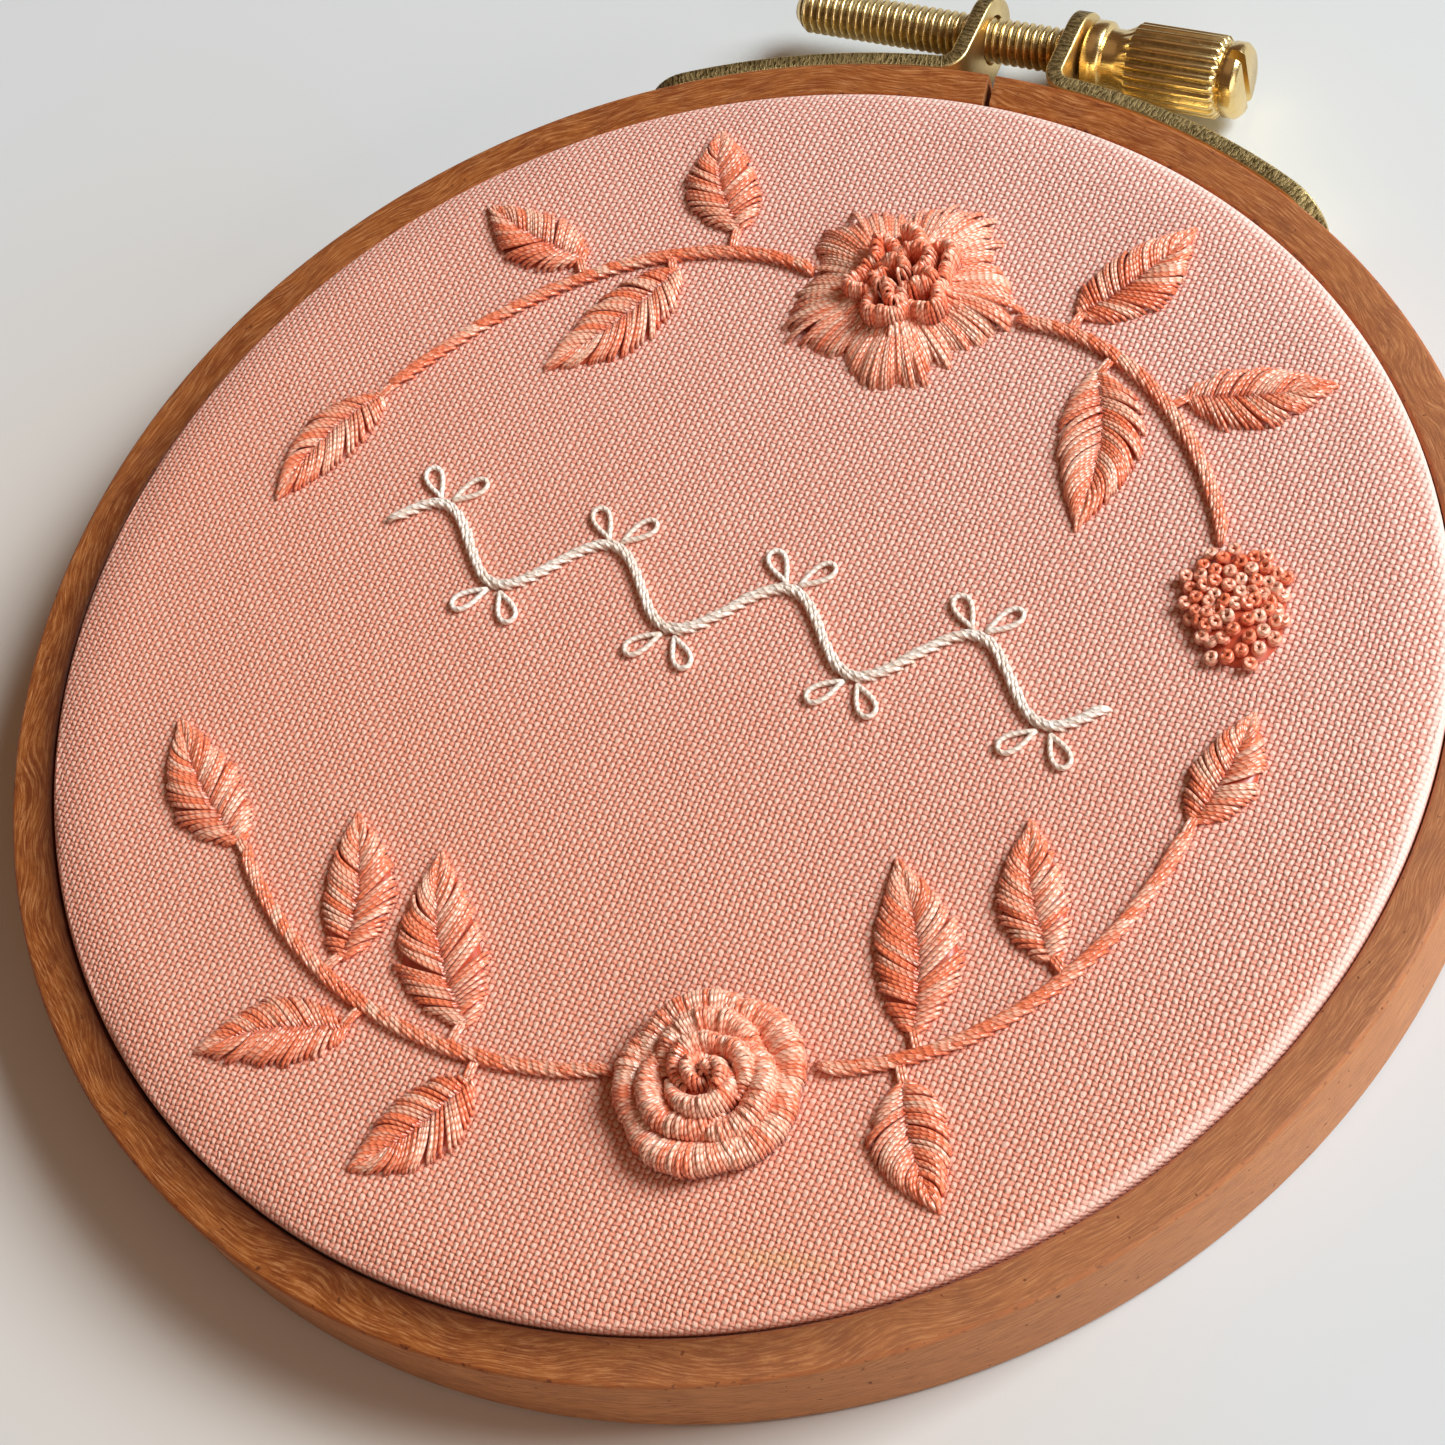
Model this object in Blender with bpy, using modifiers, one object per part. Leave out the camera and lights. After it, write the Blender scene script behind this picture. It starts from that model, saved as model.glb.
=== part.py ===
"""Hoop embroidery art, built the way the real thing is made.

A plain-weave cotton is stretched over an inner beech ring, and an outer ring, split at its top, grips it.
Two brass brackets and a knurled screw close the split. Raised stitching lies on the cloth's face: two sprays
of leaves, one with an open bloom and one with a rose, and an ivory scroll between them.

Metres, +Z up out of the cloth's face, +Y towards the screw. The hoop lies on its back, on z = 0.
"""

import math

import bmesh
import bpy
from mathutils import Matrix, Vector

MM = 0.001
GAP = 0.3 * MM  # between pieces that touch on the real object

# Rings
OUTER_RADIUS = 56.5 * MM
OUTER_WALL = 3.5 * MM
OUTER_HEIGHT = 8.0 * MM
INNER_WALL = 4.0 * MM
INNER_BOTTOM = 1.0 * MM
RING_FILLET = 0.7 * MM
RING_STEPS = 80
SPLIT_WIDTH = 0.6 * MM

# Cloth: a drum head and the skirt that the rings grip
CLOTH_THICKNESS = 1.0 * MM
CLOTH_TOP = 9.2 * MM
CLOTH_FILLET = 1.2 * MM
SKIRT_BOTTOM = 0.6 * MM
CLOTH_RADIUS = OUTER_RADIUS - OUTER_WALL - GAP
INNER_RADIUS = CLOTH_RADIUS - CLOTH_THICKNESS - GAP
INNER_TOP = CLOTH_TOP - CLOTH_THICKNESS - GAP

# Brackets: brass strip, half its width is also the radius of its round ends
STRIP_THICKNESS = 1.4 * MM
STRIP_HALF_WIDTH = 3.5 * MM
STRIP_END_ANGLE = math.radians(31.0)
BEND_RADIUS = 1.6 * MM
EAR_FACE_X = 3.5 * MM
RIVET_ANGLES = (math.radians(13.0), math.radians(24.0))
RIVET_RADIUS = 1.2 * MM
RIVET_HEIGHT = 0.6 * MM
RIVET_SUNK = 0.4 * MM

# Screw: lies across the split along X, at the middle of the rings' height
SCREW_Y = 63.0 * MM
SCREW_Z = OUTER_HEIGHT / 2
THREAD_TIP = -21.4 * MM
THREAD_TIP_RADIUS = 1.1 * MM
THREAD_CREST = 1.9 * MM
THREAD_ROOT = 1.55 * MM
THREAD_PITCH = 0.7 * MM
THREAD_STEPS = 12
COLLAR_START = EAR_FACE_X + STRIP_THICKNESS + GAP
COLLAR_RADIUS = 3.05 * MM
COLLAR_LENGTH = 1.6 * MM
NECK_RADIUS = 2.7 * MM
NECK_CONE = 0.9 * MM
KNURL_START = 9.0 * MM
KNURL_END = 16.8 * MM
KNURL_CREST = 3.4 * MM
KNURL_ROOT = 3.15 * MM
KNURL_FLUTES = 24
HEAD_END = 19.6 * MM
HEAD_CHAMFER = 0.35 * MM
HEAD_STEPS = 24
SLOT_WIDTH = 0.9 * MM
SLOT_DEPTH = 1.2 * MM

# The hoop's centre lies behind the middle of the whole object, because the screw stands out at the top
HARDWARE_REACH = SCREW_Y + STRIP_HALF_WIDTH
HOOP_CENTRE_Y = (OUTER_RADIUS - HARDWARE_REACH) / 2

# Stitching
STITCH_BASE = CLOTH_TOP + GAP
STEM_RADIUS = 0.36 * MM
SCROLL_RADIUS = 0.4 * MM
STEM_POINTS = 12
TUBE_SIDES = 2
LEAF_HEIGHT = 0.95 * MM
LEAF_EDGE = 0.3 * MM
LEAF_GROOVE = 0.3 * MM
LEAF_TIP_WIDTH = 0.1 * MM
LEAF_LEAN = 0.8  # under 1, the leaf is fullest nearer its stalk than its tip
LEAF_FULLNESS = 0.85
LEAF_ROWS = 8
LEAF_COLUMNS = 6

# Each stem is one cubic curve on the cloth: its ends and two handles, in millimetres from the hoop's centre
STEMS = {
    "stem_upper_left": ((-6.4, 33.4), (-16.0, 35.5), (-28.0, 29.0), (-35.5, 15.0)),
    "stem_upper_right": ((11.4, 32.4), (18.0, 33.5), (27.0, 29.0), (33.0, 18.0)),
    "stem_lower_left": ((7.1, -34.0), (-2.0, -38.0), (-17.0, -37.0), (-27.0, -27.0)),
    "stem_lower_right": ((20.9, -29.5), (28.5, -27.5), (37.0, -19.0), (38.5, -6.0)),
}

# Leaves in millimetres and degrees: where the stalk end lies, where the tip points, and how far the midrib bows
LEAF_FIELDS = ("base_x", "base_y", "heading", "length", "width", "bow")
LEAVES = {
    "leaf_upper_1": (-13.8, 35.6, 122, 11.0, 6.0, 0.8),
    "leaf_upper_2": (-17.2, 31.0, 240, 13.5, 6.2, 0.9),
    "leaf_upper_3": (-25.4, 30.0, 163, 11.0, 5.4, 0.6),
    "leaf_upper_4": (-36.2, 13.6, 250, 12.0, 5.2, -0.7),
    "leaf_upper_5": (15.8, 34.0, 60, 11.5, 6.0, -0.8),
    "leaf_upper_6": (19.0, 29.6, 284, 14.0, 6.4, 1.0),
    "leaf_upper_7": (26.2, 28.8, 20, 11.0, 5.4, -0.6),
    "leaf_lower_1": (-2.2, -37.8, 238, 10.5, 5.8, 0.7),
    "leaf_lower_2": (-4.4, -34.4, 124, 14.5, 6.6, 1.1),
    "leaf_lower_3": (-12.8, -37.2, 206, 11.5, 5.4, -0.7),
    "leaf_lower_4": (-15.6, -32.4, 113, 12.0, 5.6, -0.7),
    "leaf_lower_5": (-27.9, -26.3, 141, 13.0, 5.8, 0.8),
    "leaf_lower_6": (26.8, -28.6, 306, 9.5, 5.4, -0.6),
    "leaf_lower_7": (26.2, -25.2, 117, 13.5, 6.2, -0.9),
    "leaf_lower_8": (33.2, -17.4, 118, 11.0, 5.0, 0.7),
    "leaf_lower_9": (38.7, -4.7, 83, 9.5, 4.8, -0.5),
}

BLOOM_CENTRE = (1.5 * MM, 33.0 * MM)
BLOOM_RADIUS = 9.0 * MM
BLOOM_PETALS = 5
PETAL_NOTCH = 0.12
PETAL_HEIGHT = 0.9 * MM
PETAL_VALLEY = 0.3 * MM
RUFFLE_HEIGHT = 2.6 * MM
RUFFLE_MIDDLE = 0.33
RUFFLE_SPREAD = 0.2
ROSE_CENTRE = (14.4 * MM, -33.0 * MM)
ROSE_RADIUS = 6.6 * MM
ROSE_TURNS = 2.5
ROSE_RIDGE = 0.45 * MM
ROSE_DOME = 3.4 * MM
KNOTS_CENTRE = (35.8 * MM, 12.6 * MM)
KNOTS_HEADING = math.radians(-62)
KNOTS_RADIUS = 4.9 * MM
KNOTS_DOME = 1.6 * MM
KNOTS_AROUND = 12
KNOTS_RINGS = 5
KNOT_BUMP = 0.3 * MM

SCROLL_HALF_LENGTH = 30.0 * MM
SCROLL_Y = 2.5 * MM
SCROLL_SWING = 2.8 * MM
SCROLL_WAVES = 4
SCROLL_POINTS = 64


def empty_scene():
    for old in list(bpy.data.objects):
        bpy.data.objects.remove(old, do_unlink=True)


def collection(name):
    made = bpy.data.collections.new(name)
    bpy.context.scene.collection.children.link(made)
    return made


def finish_of(name, colour, roughness, metallic=0.0):
    """A Principled material of one colour."""
    made = bpy.data.materials.new(name)
    made.use_nodes = True
    shader = made.node_tree.nodes["Principled BSDF"]
    shader.inputs["Base Color"].default_value = (*colour, 1.0)
    shader.inputs["Roughness"].default_value = roughness
    shader.inputs["Metallic"].default_value = metallic
    made.diffuse_color = (*colour, 1.0)
    return made


def place(name, data, finish, parent, home, location=(0, 0, 0), rotation_z=0.0):
    made = bpy.data.objects.new(name, data)
    home.objects.link(made)
    made.parent = parent
    made.location = location
    made.rotation_euler = (0, 0, rotation_z)
    if finish is not None:
        data.materials.append(finish)
    return made


def mesh_from(name, bm):
    bmesh.ops.recalc_face_normals(bm, faces=bm.faces)
    data = bpy.data.meshes.new(name)
    bm.to_mesh(data)
    bm.free()
    return data


def turned(name, profile, steps, finish, parent, home, closed):
    """A profile of (radius, height) points, outer side running down, turned about Z."""
    data = bpy.data.meshes.new(name)
    edges = [(i, i + 1) for i in range(len(profile) - 1)]
    if closed:
        edges.append((len(profile) - 1, 0))
    data.from_pydata([(r, 0.0, z) for r, z in profile], edges, [])
    made = place(name, data, finish, parent, home)
    screw = made.modifiers.new("turn", "SCREW")
    screw.axis = "Z"
    screw.angle = math.tau
    screw.steps = steps
    screw.render_steps = steps
    screw.use_merge_vertices = True
    screw.merge_threshold = 0.00001
    return made


def combine(body, tool, operation):
    """Cuts tool from body, or joins it to body, with an exact Boolean."""
    tool.hide_render = True
    tool.display_type = "WIRE"
    boolean = body.modifiers.new(operation.lower(), "BOOLEAN")
    boolean.operation = operation
    boolean.object = tool
    boolean.solver = "EXACT"


def box_tool(name, size, location, parent, home):
    bm = bmesh.new()
    bmesh.ops.create_cube(bm, size=1.0)
    bmesh.ops.scale(bm, vec=size, verts=bm.verts)
    return place(name, mesh_from(name, bm), None, parent, home, location)


def rounded_section(inner, outer, bottom, top, fillet):
    """Clockwise outline of a ring's section, outer side running down, with quarter-round corners."""
    corners = (
        (outer - fillet, top - fillet, 90),
        (outer - fillet, bottom + fillet, 0),
        (inner + fillet, bottom + fillet, -90),
        (inner + fillet, top - fillet, -180),
    )
    outline = []
    for centre_r, centre_z, start in corners:
        for step in (0, 45, 90):
            angle = math.radians(start - step)
            outline.append((centre_r + fillet * math.cos(angle), centre_z + fillet * math.sin(angle)))
    return outline


def build_rings(wood, hoop, home, tools):
    outer = turned(
        "outer_ring",
        rounded_section(OUTER_RADIUS - OUTER_WALL, OUTER_RADIUS, 0.0, OUTER_HEIGHT, RING_FILLET),
        RING_STEPS, wood, hoop, home, closed=True,
    )
    split_size = (SPLIT_WIDTH, 3 * OUTER_WALL, 2 * OUTER_HEIGHT)
    split_place = (0, OUTER_RADIUS - OUTER_WALL / 2, OUTER_HEIGHT / 2)
    combine(outer, box_tool("split_cutter", split_size, split_place, hoop, tools), "DIFFERENCE")
    turned(
        "inner_ring",
        rounded_section(INNER_RADIUS - INNER_WALL, INNER_RADIUS, INNER_BOTTOM, INNER_TOP, RING_FILLET),
        RING_STEPS, wood, hoop, home, closed=True,
    )


def build_cloth(cotton, hoop, home):
    """Drum head and skirt in one sheet, rounded where it turns over the inner ring."""
    bend_r = CLOTH_RADIUS - CLOTH_FILLET
    bend_z = CLOTH_TOP - CLOTH_FILLET
    profile = [(0.0, CLOTH_TOP)]
    for degrees in (90, 60, 30, 0):
        angle = math.radians(degrees)
        profile.append((bend_r + CLOTH_FILLET * math.cos(angle), bend_z + CLOTH_FILLET * math.sin(angle)))
    skirt_inside = CLOTH_RADIUS - CLOTH_THICKNESS
    profile += [
        (CLOTH_RADIUS, SKIRT_BOTTOM),
        (skirt_inside, SKIRT_BOTTOM),
        (skirt_inside, CLOTH_TOP - CLOTH_THICKNESS),
        (0.0, CLOTH_TOP - CLOTH_THICKNESS),
    ]
    turned("cloth", profile, RING_STEPS, cotton, hoop, home, closed=False)


def strip_rows():
    """Rows of the right bracket's middle surface: (x, y, half width), from the strip's end to the ear's."""
    middle = OUTER_RADIUS + GAP + STRIP_THICKNESS / 2
    ear_x = EAR_FACE_X + STRIP_THICKNESS / 2
    bend_angle = math.asin((ear_x + BEND_RADIUS) / (middle + BEND_RADIUS))
    bend_x = (middle + BEND_RADIUS) * math.sin(bend_angle)
    bend_y = (middle + BEND_RADIUS) * math.cos(bend_angle)
    rows = []
    round_end = STRIP_HALF_WIDTH / middle
    for degrees in (12, 30, 50, 70, 90):
        share = math.radians(degrees)
        angle = STRIP_END_ANGLE - round_end * (1 - math.cos(share))
        rows.append((middle * math.sin(angle), middle * math.cos(angle), STRIP_HALF_WIDTH * math.sin(share)))
    start = STRIP_END_ANGLE - round_end
    arc_steps = 5
    for step in range(1, arc_steps + 1):
        angle = start + (bend_angle - start) * step / arc_steps
        rows.append((middle * math.sin(angle), middle * math.cos(angle), STRIP_HALF_WIDTH))
    bend_steps = 4
    first = 1.5 * math.pi - bend_angle
    for step in range(1, bend_steps + 1):
        angle = first + (math.pi - first) * step / bend_steps
        rows.append(
            (bend_x + BEND_RADIUS * math.cos(angle), bend_y + BEND_RADIUS * math.sin(angle), STRIP_HALF_WIDTH)
        )
    for degrees in (90, 70, 52, 36, 22, 8):
        share = math.radians(degrees)
        rows.append((ear_x, SCREW_Y + STRIP_HALF_WIDTH * math.cos(share), STRIP_HALF_WIDTH * math.sin(share)))
    return rows


def build_bracket(name, side, brass, hoop, home, tools):
    """side is 1 for the bracket under the screw's head and -1 for the one that the thread enters."""
    bm = bmesh.new()
    previous = None
    for x, y, half in strip_rows():
        pair = [bm.verts.new((side * x, y, SCREW_Z + sign * half)) for sign in (-1, 1)]
        if previous:
            bm.faces.new((previous[0], pair[0], pair[1], previous[1]))
        previous = pair
    bracket = place(name, mesh_from(name, bm), brass, hoop, home)
    solid = bracket.modifiers.new("thickness", "SOLIDIFY")
    solid.thickness = STRIP_THICKNESS
    solid.offset = 0.0
    solid.use_even_offset = True
    for number, angle in enumerate(RIVET_ANGLES, start=1):
        combine(bracket, rivet(f"{name}_rivet_{number}", side * angle, hoop, tools), "UNION")
    combine(bracket, bpy.data.objects["hole_cutter"], "DIFFERENCE")


def rivet(name, angle, hoop, tools):
    """A low round head on the strip's outer face."""
    depth = RIVET_HEIGHT + RIVET_SUNK
    crown = 0.55 * RIVET_RADIUS
    bm = bmesh.new()
    bmesh.ops.create_cone(bm, cap_ends=True, segments=12, radius1=RIVET_RADIUS, radius2=crown, depth=depth)
    bmesh.ops.rotate(bm, verts=bm.verts, matrix=Matrix.Rotation(math.radians(-90), 3, "X"))
    reach = OUTER_RADIUS + GAP + STRIP_THICKNESS + (RIVET_HEIGHT - RIVET_SUNK) / 2
    spot = (reach * math.sin(angle), reach * math.cos(angle), SCREW_Z)
    return place(name, mesh_from(name, bm), None, hoop, tools, spot, -angle)


def hole_cutter(hoop, tools):
    radius = THREAD_CREST + GAP
    both_ears = 4 * (EAR_FACE_X + STRIP_THICKNESS)
    bm = bmesh.new()
    bmesh.ops.create_cone(bm, cap_ends=True, segments=20, radius1=radius, radius2=radius, depth=both_ears)
    bmesh.ops.rotate(bm, verts=bm.verts, matrix=Matrix.Rotation(math.radians(90), 3, "Y"))
    place("hole_cutter", mesh_from("hole_cutter", bm), None, hoop, tools, (0, SCREW_Y, SCREW_Z))


def thread_profile():
    """From the screw's tip to inside the head. The thread is drawn as ridges, one for each turn."""
    inside_head = KNURL_START
    profile = [(0.0, THREAD_TIP), (THREAD_TIP_RADIUS, THREAD_TIP)]
    station = THREAD_TIP + THREAD_PITCH
    while station + THREAD_PITCH < COLLAR_START:
        profile.append((THREAD_ROOT, station))
        profile.append((THREAD_CREST, station + THREAD_PITCH / 2))
        station += THREAD_PITCH
    profile += [(THREAD_ROOT, station), (THREAD_ROOT, inside_head), (0.0, inside_head)]
    return profile[::-1]


def head_profile():
    chamfer = HEAD_CHAMFER
    end_radius = KNURL_ROOT - 0.05 * MM
    return [
        (0.0, HEAD_END),
        (end_radius - 2 * chamfer, HEAD_END),
        (end_radius, HEAD_END - 2 * chamfer),
        (end_radius, KNURL_END + chamfer),
        (KNURL_ROOT - chamfer, KNURL_END - chamfer),
        (KNURL_ROOT - chamfer, KNURL_START + chamfer),
        (NECK_RADIUS, KNURL_START - NECK_CONE),
        (NECK_RADIUS, COLLAR_START + COLLAR_LENGTH + HEAD_CHAMFER),
        (COLLAR_RADIUS, COLLAR_START + COLLAR_LENGTH),
        (COLLAR_RADIUS, COLLAR_START),
        (0.0, COLLAR_START),
    ]


def knurl_tool(axis, tools):
    """Straight flutes round the grip, as a star-shaped prism with chamfered ends."""
    chamfer = HEAD_CHAMFER
    stations = (
        (KNURL_START, -chamfer),
        (KNURL_START + chamfer, 0.0),
        (KNURL_END - chamfer, 0.0),
        (KNURL_END, -chamfer),
    )
    bm = bmesh.new()
    count = 2 * KNURL_FLUTES
    loops = []
    for station, inset in stations:
        ring = []
        for i in range(count):
            radius = (KNURL_CREST if i % 2 else KNURL_ROOT) + inset
            angle = math.tau * i / count
            ring.append(bm.verts.new((radius * math.cos(angle), radius * math.sin(angle), station)))
        loops.append(ring)
    for low, high in zip(loops, loops[1:]):
        for i in range(count):
            j = (i + 1) % count
            bm.faces.new((low[i], low[j], high[j], high[i]))
    bm.faces.new(loops[0][::-1])
    bm.faces.new(loops[-1])
    return place("knurl", mesh_from("knurl", bm), None, axis, tools)


def build_screw(brass, hoop, home, tools):
    """One turned piece with its origin on its own axis, which lies along X."""
    axis = bpy.data.objects.new("screw_axis", None)
    home.objects.link(axis)
    axis.parent = hoop
    axis.location = (0, SCREW_Y, SCREW_Z)
    axis.rotation_euler = (0, math.radians(90), 0)
    screw = turned("screw", head_profile(), HEAD_STEPS, brass, axis, home, closed=False)
    rod = turned("threaded_rod", thread_profile(), THREAD_STEPS, None, axis, tools, closed=False)
    combine(screw, rod, "UNION")
    combine(screw, knurl_tool(axis, tools), "UNION")
    slot_size = (3 * KNURL_CREST, SLOT_WIDTH, 2 * SLOT_DEPTH)
    combine(screw, box_tool("slot_cutter", slot_size, (0, 0, HEAD_END), axis, tools), "DIFFERENCE")


def cubic(ends_and_handles, share):
    """A point of the cubic curve, in metres."""
    p0, p1, p2, p3 = (Vector(p) * MM for p in ends_and_handles)
    rest = 1 - share
    return rest**3 * p0 + 3 * rest**2 * share * p1 + 3 * rest * share**2 * p2 + share**3 * p3


def tube(name, points, radius, finish, hoop, home):
    """A round cord through points on the cloth."""
    data = bpy.data.curves.new(name, "CURVE")
    data.dimensions = "3D"
    data.bevel_depth = radius
    data.bevel_resolution = TUBE_SIDES
    data.use_fill_caps = True
    spline = data.splines.new("POLY")
    spline.points.add(len(points) - 1)
    for place_of, point in zip(spline.points, points):
        place_of.co = (point[0], point[1], STITCH_BASE + radius, 1.0)
    place(name, data, finish, hoop, home)


def build_stems(floss, hoop, home):
    for name, curve in STEMS.items():
        points = [cubic(curve, i / (STEM_POINTS - 1)) for i in range(STEM_POINTS)]
        tube(name, points, STEM_RADIUS, floss, hoop, home)


def build_scroll(ivory, hoop, home):
    """An even running wave, the plainest of border scrolls."""
    points = []
    for i in range(SCROLL_POINTS + 1):
        along = i / SCROLL_POINTS
        x = SCROLL_HALF_LENGTH * (2 * along - 1)
        points.append((x, SCROLL_Y + SCROLL_SWING * math.sin(math.tau * SCROLL_WAVES * along)))
    tube("scroll", points, SCROLL_RADIUS, ivory, hoop, home)


def leaf_half_width(share, width):
    """Half the leaf's width at a share of its length: fullest before the middle, pointed at the tip."""
    return max(LEAF_TIP_WIDTH, width / 2 * math.sin(math.pi * share**LEAF_LEAN) ** LEAF_FULLNESS)


def build_leaf(name, leaf, floss, hoop, home):
    """Two padded halves that meet in a groove along the midrib, on a flat underside."""
    bm = bmesh.new()
    bmesh.ops.create_grid(bm, x_segments=LEAF_ROWS, y_segments=LEAF_COLUMNS, size=0.5)
    top_faces = list(bm.faces)
    raised = bmesh.ops.extrude_face_region(bm, geom=top_faces, use_keep_orig=True)
    raised_points = {v for v in raised["geom"] if isinstance(v, bmesh.types.BMVert)}
    length = leaf["length"] * MM
    width = leaf["width"] * MM
    bow = leaf["bow"] * MM
    for v in bm.verts:
        share = v.co.x + 0.5
        across = 2 * v.co.y
        swell = math.sqrt(max(0.0, math.sin(math.pi * share))) * (1 - across**2)
        on_midrib = abs(across) < 0.5 / LEAF_COLUMNS
        groove = LEAF_GROOVE * swell if on_midrib else 0.0
        height = LEAF_EDGE + (LEAF_HEIGHT - LEAF_EDGE) * swell - groove
        side = across * leaf_half_width(share, width) + bow * math.sin(math.pi * share)
        v.co = (share * length, side, height if v in raised_points else 0.0)
    spot = (leaf["base_x"] * MM, leaf["base_y"] * MM, STITCH_BASE)
    place(name, mesh_from(name, bm), floss, hoop, home, spot, math.radians(leaf["heading"]))


def build_leaves(floss, hoop, home):
    for name, row in LEAVES.items():
        build_leaf(name, dict(zip(LEAF_FIELDS, row)), floss, hoop, home)


def relief(name, centre, around, rings, plan_radius, height, finish, hoop, home, rotation_z=0.0):
    """A sphere pressed flat below: its upper half follows height(angle, share), share 1 at the rim."""
    bm = bmesh.new()
    bmesh.ops.create_uvsphere(bm, u_segments=around, v_segments=2 * rings, radius=1.0)
    for v in bm.verts:
        down = math.acos(max(-1.0, min(1.0, v.co.z)))
        share = min(down, math.pi - down) / (math.pi / 2)
        angle = math.atan2(v.co.y, v.co.x) if share > 0.001 else 0.0
        reach = plan_radius(angle) * share
        above = down <= math.pi / 2 - 0.001
        v.co = (reach * math.cos(angle), reach * math.sin(angle), height(angle, share) if above else 0.0)
    place(name, mesh_from(name, bm), finish, hoop, home, (*centre, STITCH_BASE), rotation_z)


def bloom_plan(angle):
    return BLOOM_RADIUS * (1 - PETAL_NOTCH + PETAL_NOTCH * math.cos(BLOOM_PETALS * angle))


def bloom_height(angle, share):
    """Flat open petals, parted by shallow valleys, round a ruched ring with a dip in it."""
    petal = PETAL_HEIGHT + PETAL_VALLEY * math.cos(BLOOM_PETALS * angle)
    ruffle = RUFFLE_HEIGHT * math.exp(-(((share - RUFFLE_MIDDLE) / RUFFLE_SPREAD) ** 2))
    return petal * (1 - 0.5 * share**3) + ruffle


def rose_plan(angle):
    return ROSE_RADIUS * (0.96 + 0.04 * math.cos(3 * angle))


def rose_height(angle, share):
    """A dome of petals that wind out from the heart, each petal's edge a ridge."""
    dome = ROSE_DOME * (1 - 0.75 * share**2.2)
    ridge = ROSE_RIDGE * math.cos(math.tau * ROSE_TURNS * share - angle)
    return dome + ridge * min(1.0, 3 * share)


def knots_plan(angle):
    """Broad where the cluster meets its stem and drawn out to its tip, along +X."""
    return KNOTS_RADIUS * (1 + 0.15 * math.cos(2 * angle) + 0.06 * math.cos(3 * angle))


def knots_height(angle, share):
    """A low dome set with knots in staggered rings, each a bump."""
    dome = KNOTS_DOME * (1 - 0.45 * share**2)
    return dome + KNOT_BUMP * math.cos(KNOTS_AROUND * angle) * math.cos(math.pi * KNOTS_RINGS * share)


def build_flowers(floss, hoop, home):
    relief("bloom", BLOOM_CENTRE, 40, 6, bloom_plan, bloom_height, floss, hoop, home)
    relief("rose", ROSE_CENTRE, 28, 7, rose_plan, rose_height, floss, hoop, home)
    relief(
        "knots", KNOTS_CENTRE, 2 * KNOTS_AROUND, KNOTS_RINGS, knots_plan, knots_height, floss, hoop, home,
        KNOTS_HEADING,
    )


def weld_curves():
    """Turns each curve into a mesh with its caps welded on."""
    bpy.context.view_layer.update()
    graph = bpy.context.evaluated_depsgraph_get()
    for old in [o for o in bpy.data.objects if o.type == "CURVE"]:
        name = old.name
        data = bpy.data.meshes.new_from_object(old.evaluated_get(graph))
        bm = bmesh.new()
        bm.from_mesh(data)
        bmesh.ops.remove_doubles(bm, verts=bm.verts, dist=0.00001)
        bm.to_mesh(data)
        bm.free()
        made = bpy.data.objects.new(f"{name}_mesh", data)
        old.users_collection[0].objects.link(made)
        made.matrix_world = old.matrix_world
        bpy.data.objects.remove(old)
        made.name = name


def smooth_round_pieces():
    for made in bpy.data.objects:
        if made.type == "MESH":
            made.data.shade_smooth()
            made.data.set_sharp_from_angle(angle=math.radians(35))


def main():
    empty_scene()
    home = collection("hoop_embroidery_art")
    tools = collection("cutters")
    hoop = bpy.data.objects.new("hoop_centre", None)
    home.objects.link(hoop)
    hoop.location = (0, HOOP_CENTRE_Y, 0)

    wood = finish_of("stained_beech", (0.42, 0.17, 0.085), 0.5)
    cotton = finish_of("salmon_cotton", (0.72, 0.34, 0.26), 0.9)
    floss = finish_of("salmon_floss", (0.70, 0.27, 0.18), 0.45)
    ivory = finish_of("ivory_floss", (0.84, 0.72, 0.60), 0.5)
    brass = finish_of("brass", (0.80, 0.58, 0.24), 0.28, metallic=1.0)

    build_rings(wood, hoop, home, tools)
    build_cloth(cotton, hoop, home)
    hole_cutter(hoop, tools)
    build_bracket("bracket_left", -1, brass, hoop, home, tools)
    build_bracket("bracket_right", 1, brass, hoop, home, tools)
    build_screw(brass, hoop, home, tools)
    build_stems(floss, hoop, home)
    build_leaves(floss, hoop, home)
    build_flowers(floss, hoop, home)
    build_scroll(ivory, hoop, home)
    weld_curves()
    smooth_round_pieces()
    bpy.context.view_layer.update()


main()
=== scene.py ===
"""Hoop embroidery: dresses the hoop, its hardware, the cloth and every stitch, and sets the stage.

Each operator makes one piece or one group of like pieces. Lengths are metres; tables for stitching are in
millimetres from the hoop's centre, with +Y towards the screw and +Z out of the cloth's face.
"""

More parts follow.
